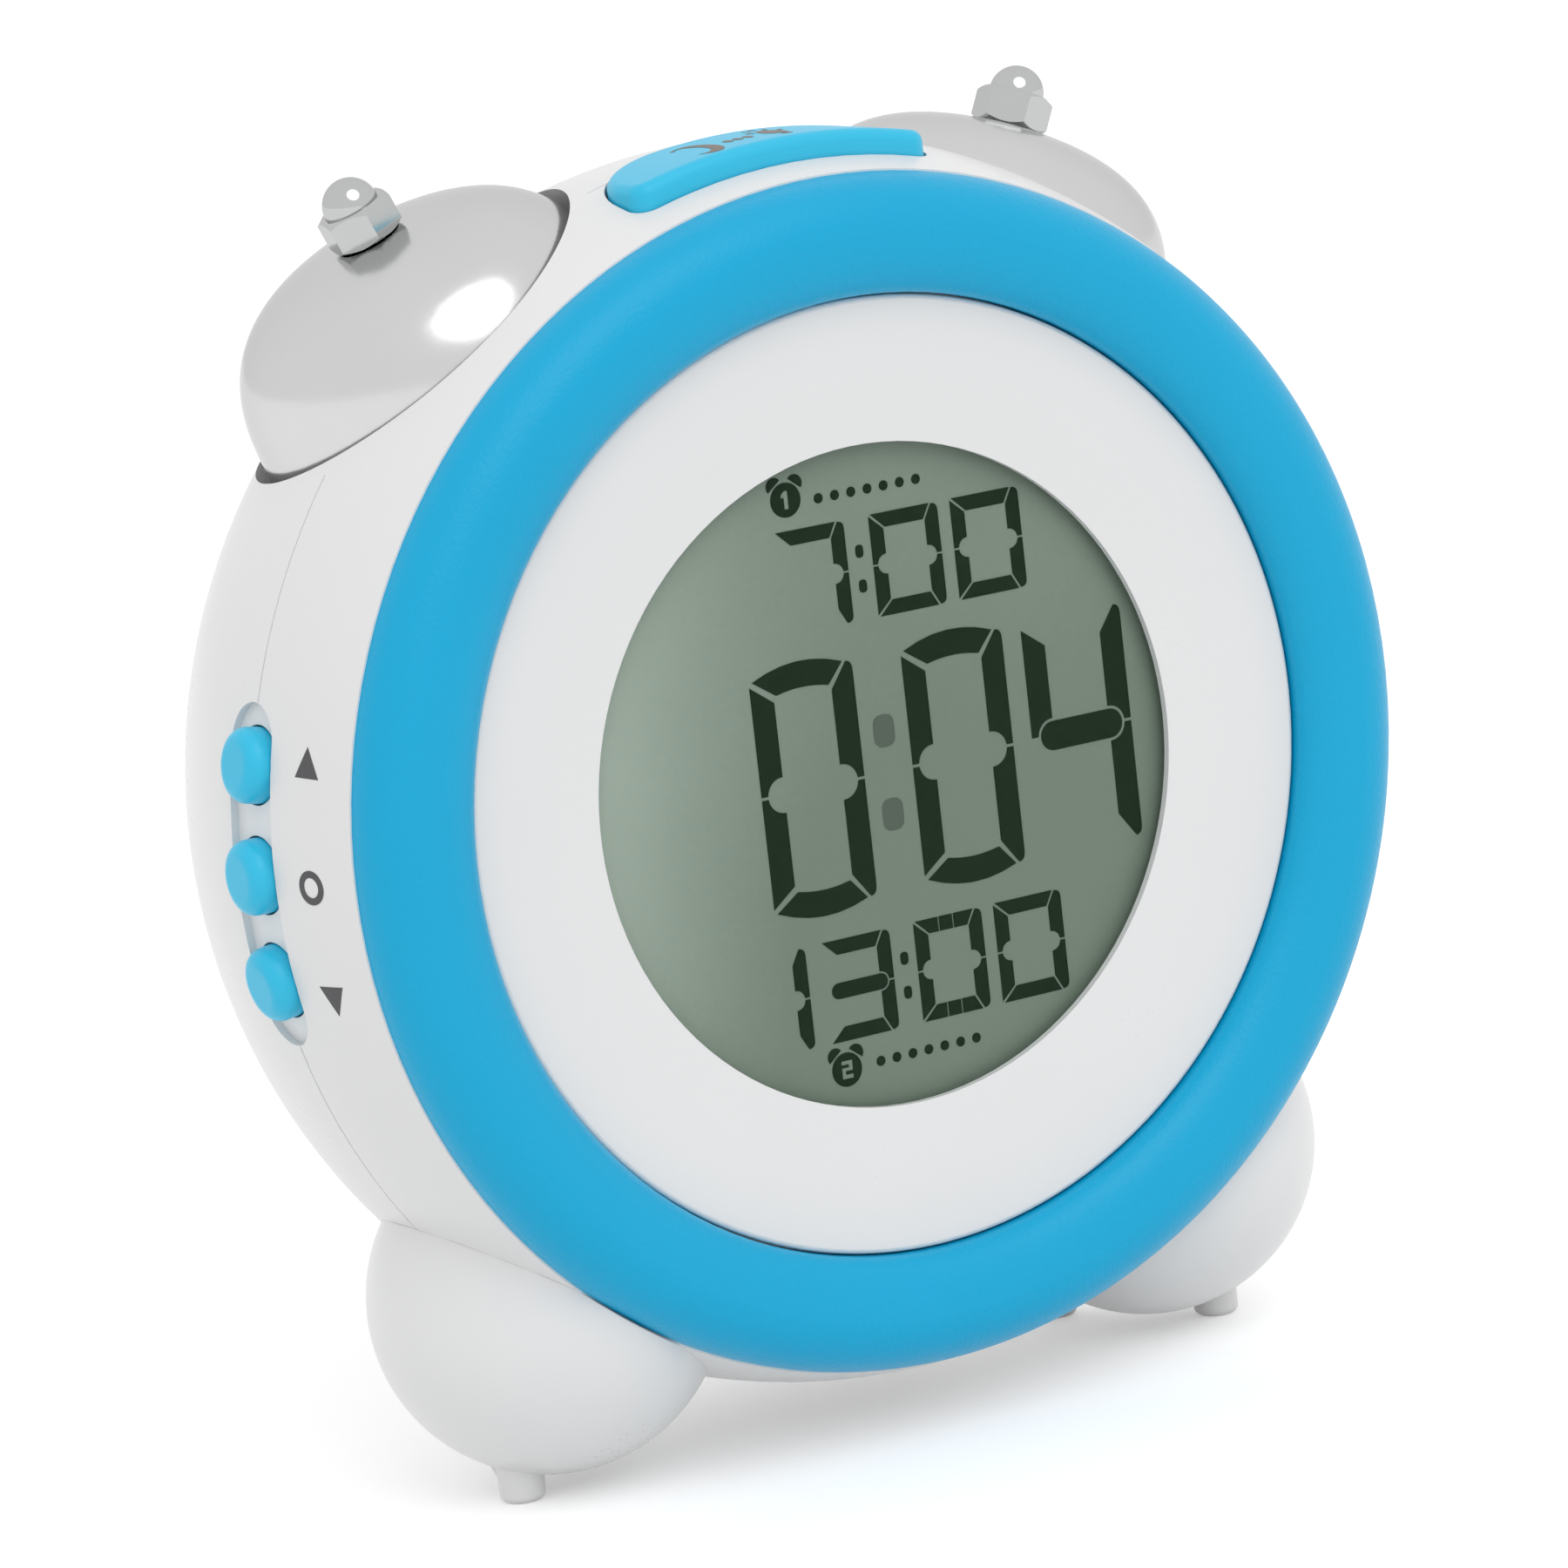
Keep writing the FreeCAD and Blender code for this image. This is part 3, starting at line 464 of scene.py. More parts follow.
@dataclass(frozen=True)
class MouldedPlastic:
    """Injection-moulded plastic with a fine grain and slight unevenness in its gloss."""

    name: str
    colour: Colour
    roughness: float
    grain_scale: float = 2600.0
    grain_height: float = 0.000008
    shade: float = 0.96
    gloss: float = 0.5

    def material(self) -> bpy.types.Material:
        """The node material."""
        painter = Painter(self.name)
        cloud = painter.noise(38.0, 3.0)
        grain = painter.noise(self.grain_scale, 2.0, 0.6)
        darker = tuple(channel * self.shade for channel in self.colour)
        painter.bump(grain, self.grain_height)
        return painter.dress(
            Base_Color=painter.mixed(cloud, self.colour, darker),
            Roughness=self.roughness + (cloud - 0.5) * 0.10 + (grain - 0.5) * 0.06,
            Specular_IOR_Level=self.gloss,
        )


@dataclass(frozen=True)
class PlatedMetal:
    """Polished and plated metal with faint smears and wear."""

    name: str
    colour: Colour
    roughness: float
    smear: float = 0.06
    edge: Colour = (0.8, 0.8, 0.8)

    def material(self) -> bpy.types.Material:
        """The node material."""
        painter = Painter(self.name)
        smear = painter.noise(60.0, 4.0, 0.6)
        fine = painter.noise(900.0, 3.0, 0.6)
        duller = tuple(channel * 0.93 for channel in self.colour)
        painter.bump(fine, 0.000002)
        return painter.dress(
            Base_Color=painter.mixed(smear, self.colour, duller),
            Metallic=1.0,
            Specular_Tint=self.edge,
            Roughness=self.roughness + (smear - 0.5) * self.smear + (fine - 0.5) * 0.02,
        )


@dataclass(frozen=True)
class ClearPane:
    """Thin clear plastic that mostly shows its gloss."""

    name: str
    tint: Colour
    alpha: float
    gloss: float = 0.3

    def material(self) -> bpy.types.Material:
        """The node material."""
        painter = Painter(self.name)
        haze = painter.noise(120.0, 3.0)
        return painter.dress(
            Base_Color=self.tint,
            Roughness=0.05 + haze * 0.03,
            Alpha=self.alpha + (haze - 0.5) * 0.01,
            Specular_IOR_Level=self.gloss,
        )


@dataclass(frozen=True)
class DisplayPanel:
    """Grey-green liquid crystal panel, a little mottled, with a painted reflection that makes it paler toward its
    left and upper edges.
    """

    name: str
    colour: Colour
    # pale is the colour of the painted reflection and of the mottle's paler patches
    pale: Colour
    half_width: float = 0.036
    middle_z: float = DIAL_HEIGHT * MM

    def material(self) -> bpy.types.Material:
        """The node material."""
        painter = Painter(self.name)
        wide = painter.noise(25.0, 2.0)
        fine = painter.noise(1500.0, 2.0)
        # painted reflection: the colour pales toward the panel's left edge and toward its top, over the random
        # mottle
        left = (painter.along("X") * (-1 / self.half_width)).max(0.0)
        upper = (painter.along("Z") - self.middle_z) * (0.16 / self.half_width)
        amount = left * left * 0.9 + upper + (wide - 0.5) * 0.25 + (fine - 0.5) * 0.12
        return painter.dress(
            Base_Color=painter.mixed(amount, self.colour, self.pale),
            Roughness=0.30 + wide * 0.08,
            Specular_IOR_Level=0.15,
        )


@dataclass(frozen=True)
class Ink:
    """Printed or switched-on marks."""

    name: str
    colour: Colour
    roughness: float = 0.45
    gloss: float = 0.2

    def material(self) -> bpy.types.Material:
        """The node material."""
        painter = Painter(self.name)
        speck = painter.noise(3200.0, 2.0)
        lighter = tuple(min(1.0, channel * 1.18 + 0.004) for channel in self.colour)
        return painter.dress(
            Base_Color=painter.mixed(speck, self.colour, lighter),
            Roughness=self.roughness + (speck - 0.5) * 0.1,
            Specular_IOR_Level=self.gloss,
        )


@dataclass(frozen=True)
class CircuitBoard:
    """Green solder mask with copper runs showing through as paler lines."""

    name: str

    def material(self) -> bpy.types.Material:
        """The node material."""
        painter = Painter(self.name)
        cells = painter.made(
            "ShaderNodeTexVoronoi",
            {"feature": "DISTANCE_TO_EDGE"},
            {"Vector": painter.place(), "Scale": 190.0},
            "Distance",
        )
        run = cells > 0.09
        painter.bump(run, 0.00003)
        return painter.dress(
            Base_Color=painter.mixed(run, (0.035, 0.26, 0.11), (0.012, 0.13, 0.05)),
            Roughness=0.35 + run * 0.08,
        )


@dataclass(frozen=True)
class CellSleeve:
    """Shrunk printed sleeve of a dry cell, with a pale band below its plus end."""

    name: str
    body: Colour
    band: Colour
    band_from: float
    band_to: float

    def material(self) -> bpy.types.Material:
        """The node material."""
        painter = Painter(self.name)
        height = painter.along("Z")
        banded = (height > self.band_from) * (1 - (height > self.band_to))
        scuff = painter.noise(420.0, 4.0, 0.65)
        painter.bump(painter.noise(700.0, 2.0), 0.00001)
        return painter.dress(
            Base_Color=painter.mixed(banded, self.body, self.band),
            Metallic=banded * 0.6,
            Roughness=0.26 + scuff * 0.12,
        )


class Palette:
    """Every material of the clock, made once."""

    def __init__(self) -> None:
        """Builds the materials."""
        self.white = MouldedPlastic("white moulded case", (0.80, 0.80, 0.80), 0.30, 1800.0, 0.000005).material()
        self.blue = MouldedPlastic(
            "blue fine-grained plastic", (0.001, 0.405, 0.700), 0.38, 2100.0, 0.000070, 0.94, 0.30
        ).material()
        self.pale_blue = MouldedPlastic(
            "pale blue plastic", (0.030, 0.530, 0.800), 0.38, 2400.0, 0.000012, 0.96, 0.35
        ).material()
        self.chrome = PlatedMetal("satin chrome bell", (0.64, 0.64, 0.645), 0.20).material()
        self.nut = PlatedMetal("bright nickel nut", (0.52, 0.53, 0.525), 0.10).material()
        self.steel = PlatedMetal("zinc plated steel", (0.55, 0.55, 0.54), 0.28).material()
        self.window = ClearPane("clear window", (0.01, 0.011, 0.01), 0.05).material()
        # the second colour is the pale tint of the panel's painted reflection, also used in its mottle
        self.lcd = DisplayPanel("liquid crystal panel", (0.214, 0.278, 0.219), (0.500, 0.600, 0.515)).material()
        self.segment = Ink("dark display segment", (0.0045, 0.0195, 0.0055), 0.35, 0.1).material()
        self.faint = Ink("faint display segment", (0.105, 0.135, 0.105), 0.35, 0.1).material()
        self.print_grey = Ink("grey print", (0.085, 0.085, 0.088)).material()
        self.print_brown = Ink("brown-grey print", (0.16, 0.125, 0.105)).material()
        self.milky = MouldedPlastic("milky light guide", (0.80, 0.83, 0.80), 0.35).material()
        self.frame = MouldedPlastic("off-white frame plastic", (0.66, 0.66, 0.63), 0.45).material()
        self.rubber = MouldedPlastic("conductive rubber", (0.06, 0.06, 0.06), 0.70).material()
        self.board = CircuitBoard("green circuit board").material()
        self.resin = MouldedPlastic("black resin", (0.02, 0.02, 0.021), 0.35).material()
        self.cell = CellSleeve(
            "green cell sleeve", (0.035, 0.150, 0.085), (0.62, 0.63, 0.61), 0.0715, 0.0795
        ).material()
        self.red = MouldedPlastic("red lead", (0.50, 0.02, 0.02), 0.40).material()
        self.black = MouldedPlastic("black lead", (0.02, 0.02, 0.02), 0.40).material()

    def by_node(self) -> dict[str, bpy.types.Material]:
        """The material of every CAD node that can show."""
        return {
            "front_shell": self.white,
            "rear_shell": self.white,
            "foot_left": self.white,
            "foot_right": self.white,
            "battery_door": self.white,
            "dial_dish": self.white,
            "bezel_ring": self.blue,
            "snooze_bar": self.pale_blue,
            "button_up": self.pale_blue,
            "button_set": self.pale_blue,
            "button_down": self.pale_blue,
            "display_window": self.window,
            "lcd_glass": self.lcd,
            "light_guide": self.milky,
            "backlight_leds": self.milky,
            "reflector_sheet": self.frame,
            "lcd_frame": self.frame,
            "wire_sockets": self.frame,
            "zebra_strip": self.rubber,
            "main_board": self.board,
            "controller_blob": self.resin,
            "filter_capacitor": self.resin,
            "tact_switches": self.resin,
            "sounder_frame": self.resin,
            "quartz_crystal": self.steel,
            "frame_screws": self.steel,
            "board_screws": self.steel,
            "case_screws": self.steel,
            "foot_screws": self.steel,
            "bell_left": self.chrome,
            "bell_right": self.chrome,
            "lock_nuts": self.nut,
            "cap_nuts": self.nut,
            "bell_spacers": self.steel,
            "bell_studs": self.steel,
            "battery_plates": self.steel,
            "battery_springs": self.steel,
            "sounder_magnet": self.steel,
            "batteries": self.cell,
            "battery_lead_red": self.red,
            "battery_lead_black": self.black,
        }


# Sub-assemblies


@dataclass(frozen=True)
class Barrel:
    """The case's round skin, for whatever lies on it."""

    arc_r: float = 50.0
    arc_centre_r: float = 13.288
    middle_y: float = 19.5

    def point(self, angle: float, y: float, lift: float) -> Vector:
        """A point on the skin.

        Args:
            angle: degrees round the dial's axis, from the right, seen from the front.
            y: depth in millimetres.
            lift: millimetres above the skin.

        Returns:
            The point in the row frame.
        """
        radius = self.arc_centre_r + math.sqrt((self.arc_r + lift) ** 2 - (y - self.middle_y) ** 2)
        turn = math.radians(angle)
        return dial(radius * math.cos(turn), y, radius * math.sin(turn))

    def radius(self, y: float) -> float:
        """The skin's radius at a depth, in millimetres."""
        return self.arc_centre_r + math.sqrt(self.arc_r**2 - (y - self.middle_y) ** 2)


@dataclass(frozen=True)
class BarTop:
    """The press bar's top, which is straight from front to back."""

    top_r: float = 64.038

    def point(self, angle: float, y: float, lift: float) -> Vector:
        """A point on the bar.

        Args:
            angle: degrees round the dial's axis, from the right, seen from the front.
            y: depth in millimetres.
            lift: millimetres above the bar.

        Returns:
            The point in the row frame.
        """
        turn = math.radians(angle)
        return dial((self.top_r + lift) * math.cos(turn), y, (self.top_r + lift) * math.sin(turn))

    def radius(self, y: float) -> float:
        """The top's radius, the same at every depth."""
        return self.top_r


@dataclass(frozen=True)
class DigitStyle:
    """The shape of a seven-segment digit, in millimetres."""

    width: float
    half_height: float
    stroke: float
    gap: float
    crown: float
    tip_inset: float
    tip_rise: float
    tip_drop: float
    inner_drop: float
    left_drop: float
    bar_half: float
    steps: int = 6

    def top(self, x: float) -> float:
        """Height of the top segment's outer edge at x."""
        half = self.width / 2
        return self.half_height + self.gap * 0.6 + self.crown * (1 - ((x - half) / half) ** 2)

    def bar_left(self) -> float:
        """Centre of the middle segment's left end."""
        return self.stroke * 0.97

    def bar_right(self) -> float:
        """Centre of the middle segment's right end."""
        return self.width - self.stroke * 0.97

    def bite(self) -> list[Point2]:
        """The round bite that the middle segment leaves in the upper right one, from inside outwards."""
        radius = self.bar_half + self.gap
        inner = self.width - self.stroke - self.bar_right()
        start = math.acos(max(-1.0, min(1.0, inner / radius)))
        end = math.asin(self.gap / 2 / radius)
        turns = [start + (end - start) * i / self.steps for i in range(self.steps + 1)]
        return [(self.bar_right() + radius * math.cos(t), radius * math.sin(t)) for t in turns]

    def upper_right(self) -> list[Point2]:
        """Segment b."""
        top = self.half_height + self.tip_rise
        start, bend, end = (self.width - self.tip_inset, top), (self.width, top), (self.width, top - self.tip_drop)
        corner = []
        for i in range(self.steps + 1):
            t = i / self.steps
            corner.append(
                tuple((1 - t) ** 2 * a + 2 * t * (1 - t) * b + t**2 * c for a, b, c in zip(start, bend, end))
            )
        inner = (self.width - self.stroke, self.half_height - self.inner_drop)
        return [*corner, (self.width, self.gap / 2), *reversed(self.bite()), inner]

    def upper_left(self) -> list[Point2]:
        """Segment f."""
        bitten = [(self.width - x, z) for x, z in self.bite()]
        return [
            (0, self.half_height - self.gap * 0.4),
            (self.stroke, self.half_height - self.left_drop),
            *bitten,
            (0, self.gap / 2),
        ]

    def top_bar(self, left: float | None = None, right: float | None = None) -> list[Point2]:
        """Segment a, or the part of it between two upright cuts.

        Args:
            left: where an upright cut starts it, or None for the slanting end.
            right: where an upright cut ends it, or None for the slanting end.

        Returns:
            Its outline.
        """
        ends = [
            (self.gap * 1.1, self.stroke + self.gap) if left is None else (left, left),
            (self.width - self.tip_inset - self.gap * 1.2, self.width - self.stroke - self.gap)
            if right is None
            else (right, right),
        ]
        outer = [ends[0][0] + (ends[1][0] - ends[0][0]) * i / self.steps for i in range(self.steps + 1)]
        inner = [ends[1][1] + (ends[0][1] - ends[1][1]) * i / self.steps for i in range(self.steps + 1)]
        depth = self.stroke if self.crown else self.inner_drop
        return [(x, self.top(x)) for x in outer] + [(x, self.top(x) - depth) for x in inner]

    def middle(self) -> list[Point2]:
        """Segment g."""
        points = []
        for centre, start in ((self.bar_right(), -90), (self.bar_left(), 90)):
            for i in range(2 * self.steps + 1):
                turn = math.radians(start + 180 * i / (2 * self.steps))
                points.append((centre + self.bar_half * math.cos(turn), self.bar_half * math.sin(turn)))
        return points

    def segments(self, digit: str) -> list[list[Point2]]:
        """The outlines that light for a digit, from its left edge and its middle.

        Args:
            digit: one of the digits in LIT, or "split0", a zero with cuts in its bars.

        Returns:
            The outlines.
        """
        cut = self.width * 0.37, self.width * 0.58
        bars = {
            "whole": [self.top_bar()],
            "split": [
                self.top_bar(None, cut[0] - self.gap / 3),
                self.top_bar(cut[0] + self.gap / 3, cut[1] - self.gap / 3),
                self.top_bar(cut[1] + self.gap / 3, None),
            ],
        }["split" if digit.startswith("split") else "whole"]
        drawn = {
            "a": bars,
            "b": [self.upper_right()],
            "c": [flipped(self.upper_right())],
            "d": [flipped(bar) for bar in bars],
            "e": [flipped(self.upper_left())],
            "f": [self.upper_left()],
            "g": [self.middle()],
        }
        return [outline for letter in LIT[digit[-1]] for outline in drawn[letter]]


LIT = {"0": "abcdef", "1": "bc", "3": "abcdg", "4": "bcfg", "7": "abc"}


def flipped(outline: Sequence[Point2]) -> list[Point2]:
    """An outline turned upside down about its middle."""
    return [(x, -z) for x, z in outline]


def rounded(width: float, height: float, corner: float, steps: int = 5) -> list[Point2]:
    """A rectangle with round corners about the origin.

    Args:
        width: its width.
        height: its height.
        corner: the corners' radius.
        steps: steps in each corner.

    Returns:
        The outline.
    """
    points = []
    for i, (sx, sz) in enumerate(((1, 1), (-1, 1), (-1, -1), (1, -1))):
        for k in range(steps + 1):
            turn = math.radians(90 * i + 90 * k / steps)
            points.append(
                (
                    sx * (width / 2 - corner) + corner * math.cos(turn),
                    sz * (height / 2 - corner) + corner * math.sin(turn),
                )
            )
    return points


def disc(radius: float, steps: int = 24, start: float = 0.0, sweep: float = 360.0) -> list[Point2]:
    """A circle or a part of one about the origin.

    Args:
        radius: its radius.
        steps: steps in the sweep.
        start: where it starts, in degrees.
        sweep: how far it goes, in degrees.

    Returns:
        The points.
    """
    count = steps if sweep >= 360 else steps + 1
    turns = [math.radians(start + sweep * i / steps) for i in range(count)]
    return [(radius * math.cos(t), radius * math.sin(t)) for t in turns]


def shifted(outline: Sequence[Point2], x: float, z: float) -> list[Point2]:
    """An outline moved by x and z."""
    return [(px + x, pz + z) for px, pz in outline]


@dataclass
class Display:
    """The liquid crystal display's marks, which lie on the panel behind the window."""

    palette: Palette
    panel_y: float = 3.4
    thickness: float = 0.04
    big: DigitStyle = DigitStyle(12.0, 11.35, 2.65, 0.30, 1.40, 0.76, 0.6, 1.1, 1.97, 2.07, 1.5)
    small: DigitStyle = DigitStyle(8.1, 5.05, 1.62, 0.18, 0.0, 0.75, 0.05, 0.8, 1.50, 1.50, 0.82)
    small_row_z: float = 20.72
    icon_r: float = 1.75

    def sheet(
        self, name: str, outlines: Sequence[Sequence[Point2]], material: bpy.types.Material, level: int = 0
    ) -> None:
        """Thin plates on the panel for a list of outlines.

        Args:
            name: the piece's name.
            outlines: outlines in dial millimetres.
            material: their material.
            level: 1 for marks that lie on other marks.
        """
        base = self.panel_y - level * self.thickness
        lift = Vector((0, -self.thickness * MM, 0))
        plates = [Bench.plate([dial(x, base, z) for x, z in outline], lift) for outline in outlines]
        Bench.finished(Bench.joined(plates), name, ROOT, Slot.LCD, material)

    def row(self, style: DigitStyle, middle_z: float, digits: Sequence[tuple[str, float]]) -> list[list[Point2]]:
        """The outlines of a row of digits.

        Args:
            style: the digits' shape.
            middle_z: the row's middle.
            digits: each digit with its left edge.

        Returns:
            The outlines in place.
        """
        return [shifted(outline, left, middle_z) for digit, left in digits for outline in style.segments(digit)]

    def clock_icon(self, x: float, z: float) -> list[list[Point2]]:
        """A round clock with two half-round ears.

        Args:
            x: its middle.
            z: its middle.

        Returns:
            The outlines.
        """
        shapes = [shifted(disc(self.icon_r), x, z)]
        for side in (-1, 1):
            tilt = 90 - side * 38
            ear = disc(self.icon_r * 0.52, 10, tilt - 90, 180)
            turn = math.radians(tilt)
            reach = self.icon_r + 0.16
            shapes.append(shifted(ear, x + reach * math.cos(turn), z + reach * math.sin(turn)))
        return shapes

    def build(self) -> None:
        """Models every mark."""
        time = self.row(self.big, 0.0, [("0", -13.85), ("0", 3.85), ("4", 18.15)])
        self.sheet("time_digits", time, self.palette.segment)
        colon = [shifted(rounded(2.45, 3.3, 0.95), 0.98, z) for z in (4.2, -4.3)]
        self.sheet("time_colon", colon, self.palette.faint)
        upper = self.row(self.small, self.small_row_z, [("7", -9.15), ("0", 1.85), ("0", 11.42)])
        upper += [shifted(rounded(0.92, 1.32, 0.4), 0.42, self.small_row_z + d) for d in (1.75, -1.75)]
        self.sheet("upper_alarm_digits", upper, self.palette.segment)
        lower = self.row(
            self.small, -self.small_row_z, [("1", -19.0), ("3", -9.1), ("split0", 1.85), ("0", 11.4)]
        )
        lower += [shifted(rounded(0.92, 1.32, 0.4), 0.42, d - self.small_row_z) for d in (1.75, -1.75)]
        self.sheet("lower_alarm_digits", lower, self.palette.segment)
        upper_icon, lower_icon = (-7.35, 28.95), (-7.6, -28.75)
        self.sheet("clock_icons", self.clock_icon(*upper_icon) + self.clock_icon(*lower_icon), self.palette.segment)
        one = [(-0.5, 0.55), (-0.1, 0.9), (0.22, 0.9), (0.22, -0.9), (-0.2, -0.9), (-0.2, 0.35), (-0.5, 0.2)]
        two = [
            (-0.6, 0.9), (0.62, 0.9), (0.62, -0.12), (-0.22, -0.12), (-0.22, -0.52), (0.62, -0.52),
            (0.62, -0.9), (-0.6, -0.9), (-0.6, 0.2), (0.22, 0.2), (0.22, 0.54), (-0.6, 0.54),
        ]
        numerals = [shifted(one, *upper_icon), shifted(two, *lower_icon)]
        self.sheet("icon_numerals", numerals, self.palette.lcd, level=1)
        days = [shifted(disc(0.52, 16), 1.9 * i - 3.6, z) for z in (28.5, -28.7) for i in range(7)]
        self.sheet("day_dots", days, self.palette.segment)


@dataclass
class PrintedMarks:
    """Plain pictograms printed beside the buttons and on the top bar."""

    palette: Palette
    barrel: Barrel = Barrel()
    bar_top: BarTop = BarTop()
    thickness: float = 0.05
    sunk: float = 0.02
    narrowing: float = 0.86
    deepening: float = 1.85
    cut_step: float = 0.7
    side_y: float = 7.9
    top_y: float = 11.6
    top_angle: float = 93.0

    def on_skin(
        self, outline: Sequence[Point2], angle: float, y: float, skin: Barrel | BarTop
    ) -> bpy.types.Object:
        """A thin plate wrapped on a round skin.

        Args:
            outline: millimetres round the skin and toward the back, about the mark's middle.
            angle: where its middle is round the skin, in degrees.
            y: where its middle is in depth.
            skin: what it lies on.

        Returns:
            The plate.
        """
        flat = [Vector((u, v, 0)) * MM for u, v in outline]
        plate = Bench.plate(flat, Vector((0, 0, self.thickness * MM)))
        reach = max(abs(c) for point in outline for c in point)
        cuts = max(1, math.ceil(reach / self.cut_step))
        Bench.edit(plate)
        for axis in (Vector((1, 0, 0)), Vector((0, 1, 0))):
            for i in range(-cuts, cuts + 1):
                bpy.ops.mesh.select_all(action="SELECT")
                bpy.ops.mesh.bisect(plane_co=axis * (reach * i / cuts * MM), plane_no=axis)
        Bench.close()
        for vertex in plate.data.vertices:
            u, v, w = (c / MM for c in vertex.co)
            turn = angle + math.degrees(u / skin.radius(y))
            vertex.co = skin.point(turn, y + v, w - self.sunk)
        Bench.edit(plate)
        Bench.close()
        return plate

    def arrow(self, direction: int) -> list[Point2]:
        """A triangle with its point up or down the clock's side."""
        return [(1.8 * direction, 0), (-1.25 * direction, 1.65), (-1.25 * direction, -1.65)]

    def ring_mark(self) -> list[list[Point2]]:
        """A ring in two halves."""
        halves = []
        for start in (0, 180):
            halves.append(disc(1.7, 14, start, 180) + list(reversed(disc(1.0, 14, start, 180))))
        return halves

    def drawn_out(self, outline: Sequence[Point2]) -> list[Point2]:
        """An outline made narrower and deeper, to read from a low angle like the print it stands for."""
        return [(x * self.narrowing, z * self.deepening) for x, z in outline]

    def crescent(self) -> list[Point2]:
        """A crescent moon."""
        outer = disc(2.1, 20, 50, 260)
        inner = shifted(disc(1.75, 20, 62, 236), 0.95, 0.25)
        return outer + list(reversed(inner))

    def lamp(self) -> list[list[Point2]]:
        """A light bulb over its cap, with short rays."""
        bulb = shifted(disc(1.35, 18, -50, 280), 0, 0.3)
        cap = shifted(rounded(1.25, 0.55, 0.2), 0, -1.25)
        rays = []
        for turn in (20, 55, 90, 125, 160):
            a = math.radians(turn)
            along, across = (math.cos(a), math.sin(a)), (-math.sin(a), math.cos(a))
            rays.append(
                [
                    (along[0] * r + across[0] * s * 0.16, along[1] * r + across[1] * s * 0.16 + 0.3)
                    for r, s in ((1.75, -1), (2.5, -1), (2.5, 1), (1.75, 1))
                ]
            )
        return [bulb, cap, *rays]

    def build(self) -> None:
        """Models the marks."""
        left = [(self.arrow(-1), 168.9), (self.arrow(1), 190.3)]
        plates = [self.on_skin(outline, angle, self.side_y, self.barrel) for outline, angle in left]
        plates += [self.on_skin(outline, 179.9, self.side_y, self.barrel) for outline in self.ring_mark()]
        Bench.finished(Bench.joined(plates), "side_marks", ROOT, Slot.WHITE, self.palette.print_grey)
        shapes = [shifted(self.crescent(), 5.2, 0)]
        shapes += [shifted(disc(0.5, 12), 1.35 * i, 0) for i in (-1, 0, 1)]
        shapes += [shifted(outline, -5.0, 0) for outline in self.lamp()]
        top = [self.on_skin(self.drawn_out(s), self.top_angle, self.top_y, self.bar_top) for s in shapes]
        Bench.finished(Bench.joined(top), "top_marks", "snooze_bar", Slot.BLUE, self.palette.print_brown)


@dataclass
class CaseScrews:
    """The four screws in the wells at the back, with cross recesses and threads."""

    palette: Palette
    places: tuple[Point2, ...] = ((-42.006, 27.488), (42.006, 27.488), (-42.006, -27.488), (42.006, -27.488))
    tip_y: float = 7.0
    seat_y: float = 40.0
    head_r: float = 2.7
    head_height: float = 2.0
    crown: float = 0.75
    shank_r: float = 1.4
    root_r: float = 1.08
    pitch: float = 1.1
    recess_half: float = 1.45
    recess_width: float = 0.62
    recess_depth: float = 1.25

    def profile(self) -> list[Vector]:
        """Half a screw's section, from its tip to the middle of its head."""
        points = [(0.0, self.tip_y), (0.35, self.tip_y + 0.1)]
        y = self.tip_y + 1.6
        while y + self.pitch < self.seat_y - 6.0:
            points += [(self.root_r, y), (self.shank_r, y + self.pitch * 0.5), (self.root_r, y + self.pitch * 0.8)]
            y += self.pitch
        points += [(self.shank_r * 0.96, y + self.pitch * 0.5), (self.shank_r * 0.96, self.seat_y)]
        points += [(self.head_r - 0.1, self.seat_y), (self.head_r, self.seat_y + 0.12)]
        rim = self.seat_y + self.head_height - self.crown
        for i in range(7):
            turn = math.radians(90 * i / 6)
            points.append((self.head_r * math.cos(turn), rim + self.crown * math.sin(turn)))
        points[-1] = (0.0, self.seat_y + self.head_height)
        return [Vector((radius, y, 0.0)) * MM for radius, y in points]

    def recess(self) -> bpy.types.Object:
        """The cross-shaped space that is cut from a head."""
        long, short = self.recess_half, self.recess_width / 2
        cross = [
            (long, short), (short, short), (short, long), (-short, long), (-short, short), (-long, short),
            (-long, -short), (-short, -short), (-short, -long), (short, -long), (short, -short), (long, -short),
        ]
        top = self.seat_y + self.head_height
        base = [Vector((x, top - self.recess_depth, z)) * MM for x, z in cross]
        tool = Bench.plate(base, Vector((0, (self.recess_depth + 0.5) * MM, 0)))
        for vertex in tool.data.vertices:
            if vertex.co.y < (top - self.recess_depth / 2) * MM:
                vertex.co.x *= 0.62
                vertex.co.z *= 0.62
        return tool

    def build(self) -> None:
        """Models one screw and copies it into each well."""
        screw = Bench.spun(self.profile(), Vector((0, 0, 0)), Vector((0, 1, 0)), 28)
        Bench.shaped(screw, self.recess(), "DIFFERENCE")
        copies = Bench.copied(screw, [dial(x, 0.0, z) for x, z in self.places])
        Bench.finished(
            Bench.joined(copies), "case_screw_set", ROOT, Slot.STEEL, self.palette.steel, replaces=["case_screws"]
        )


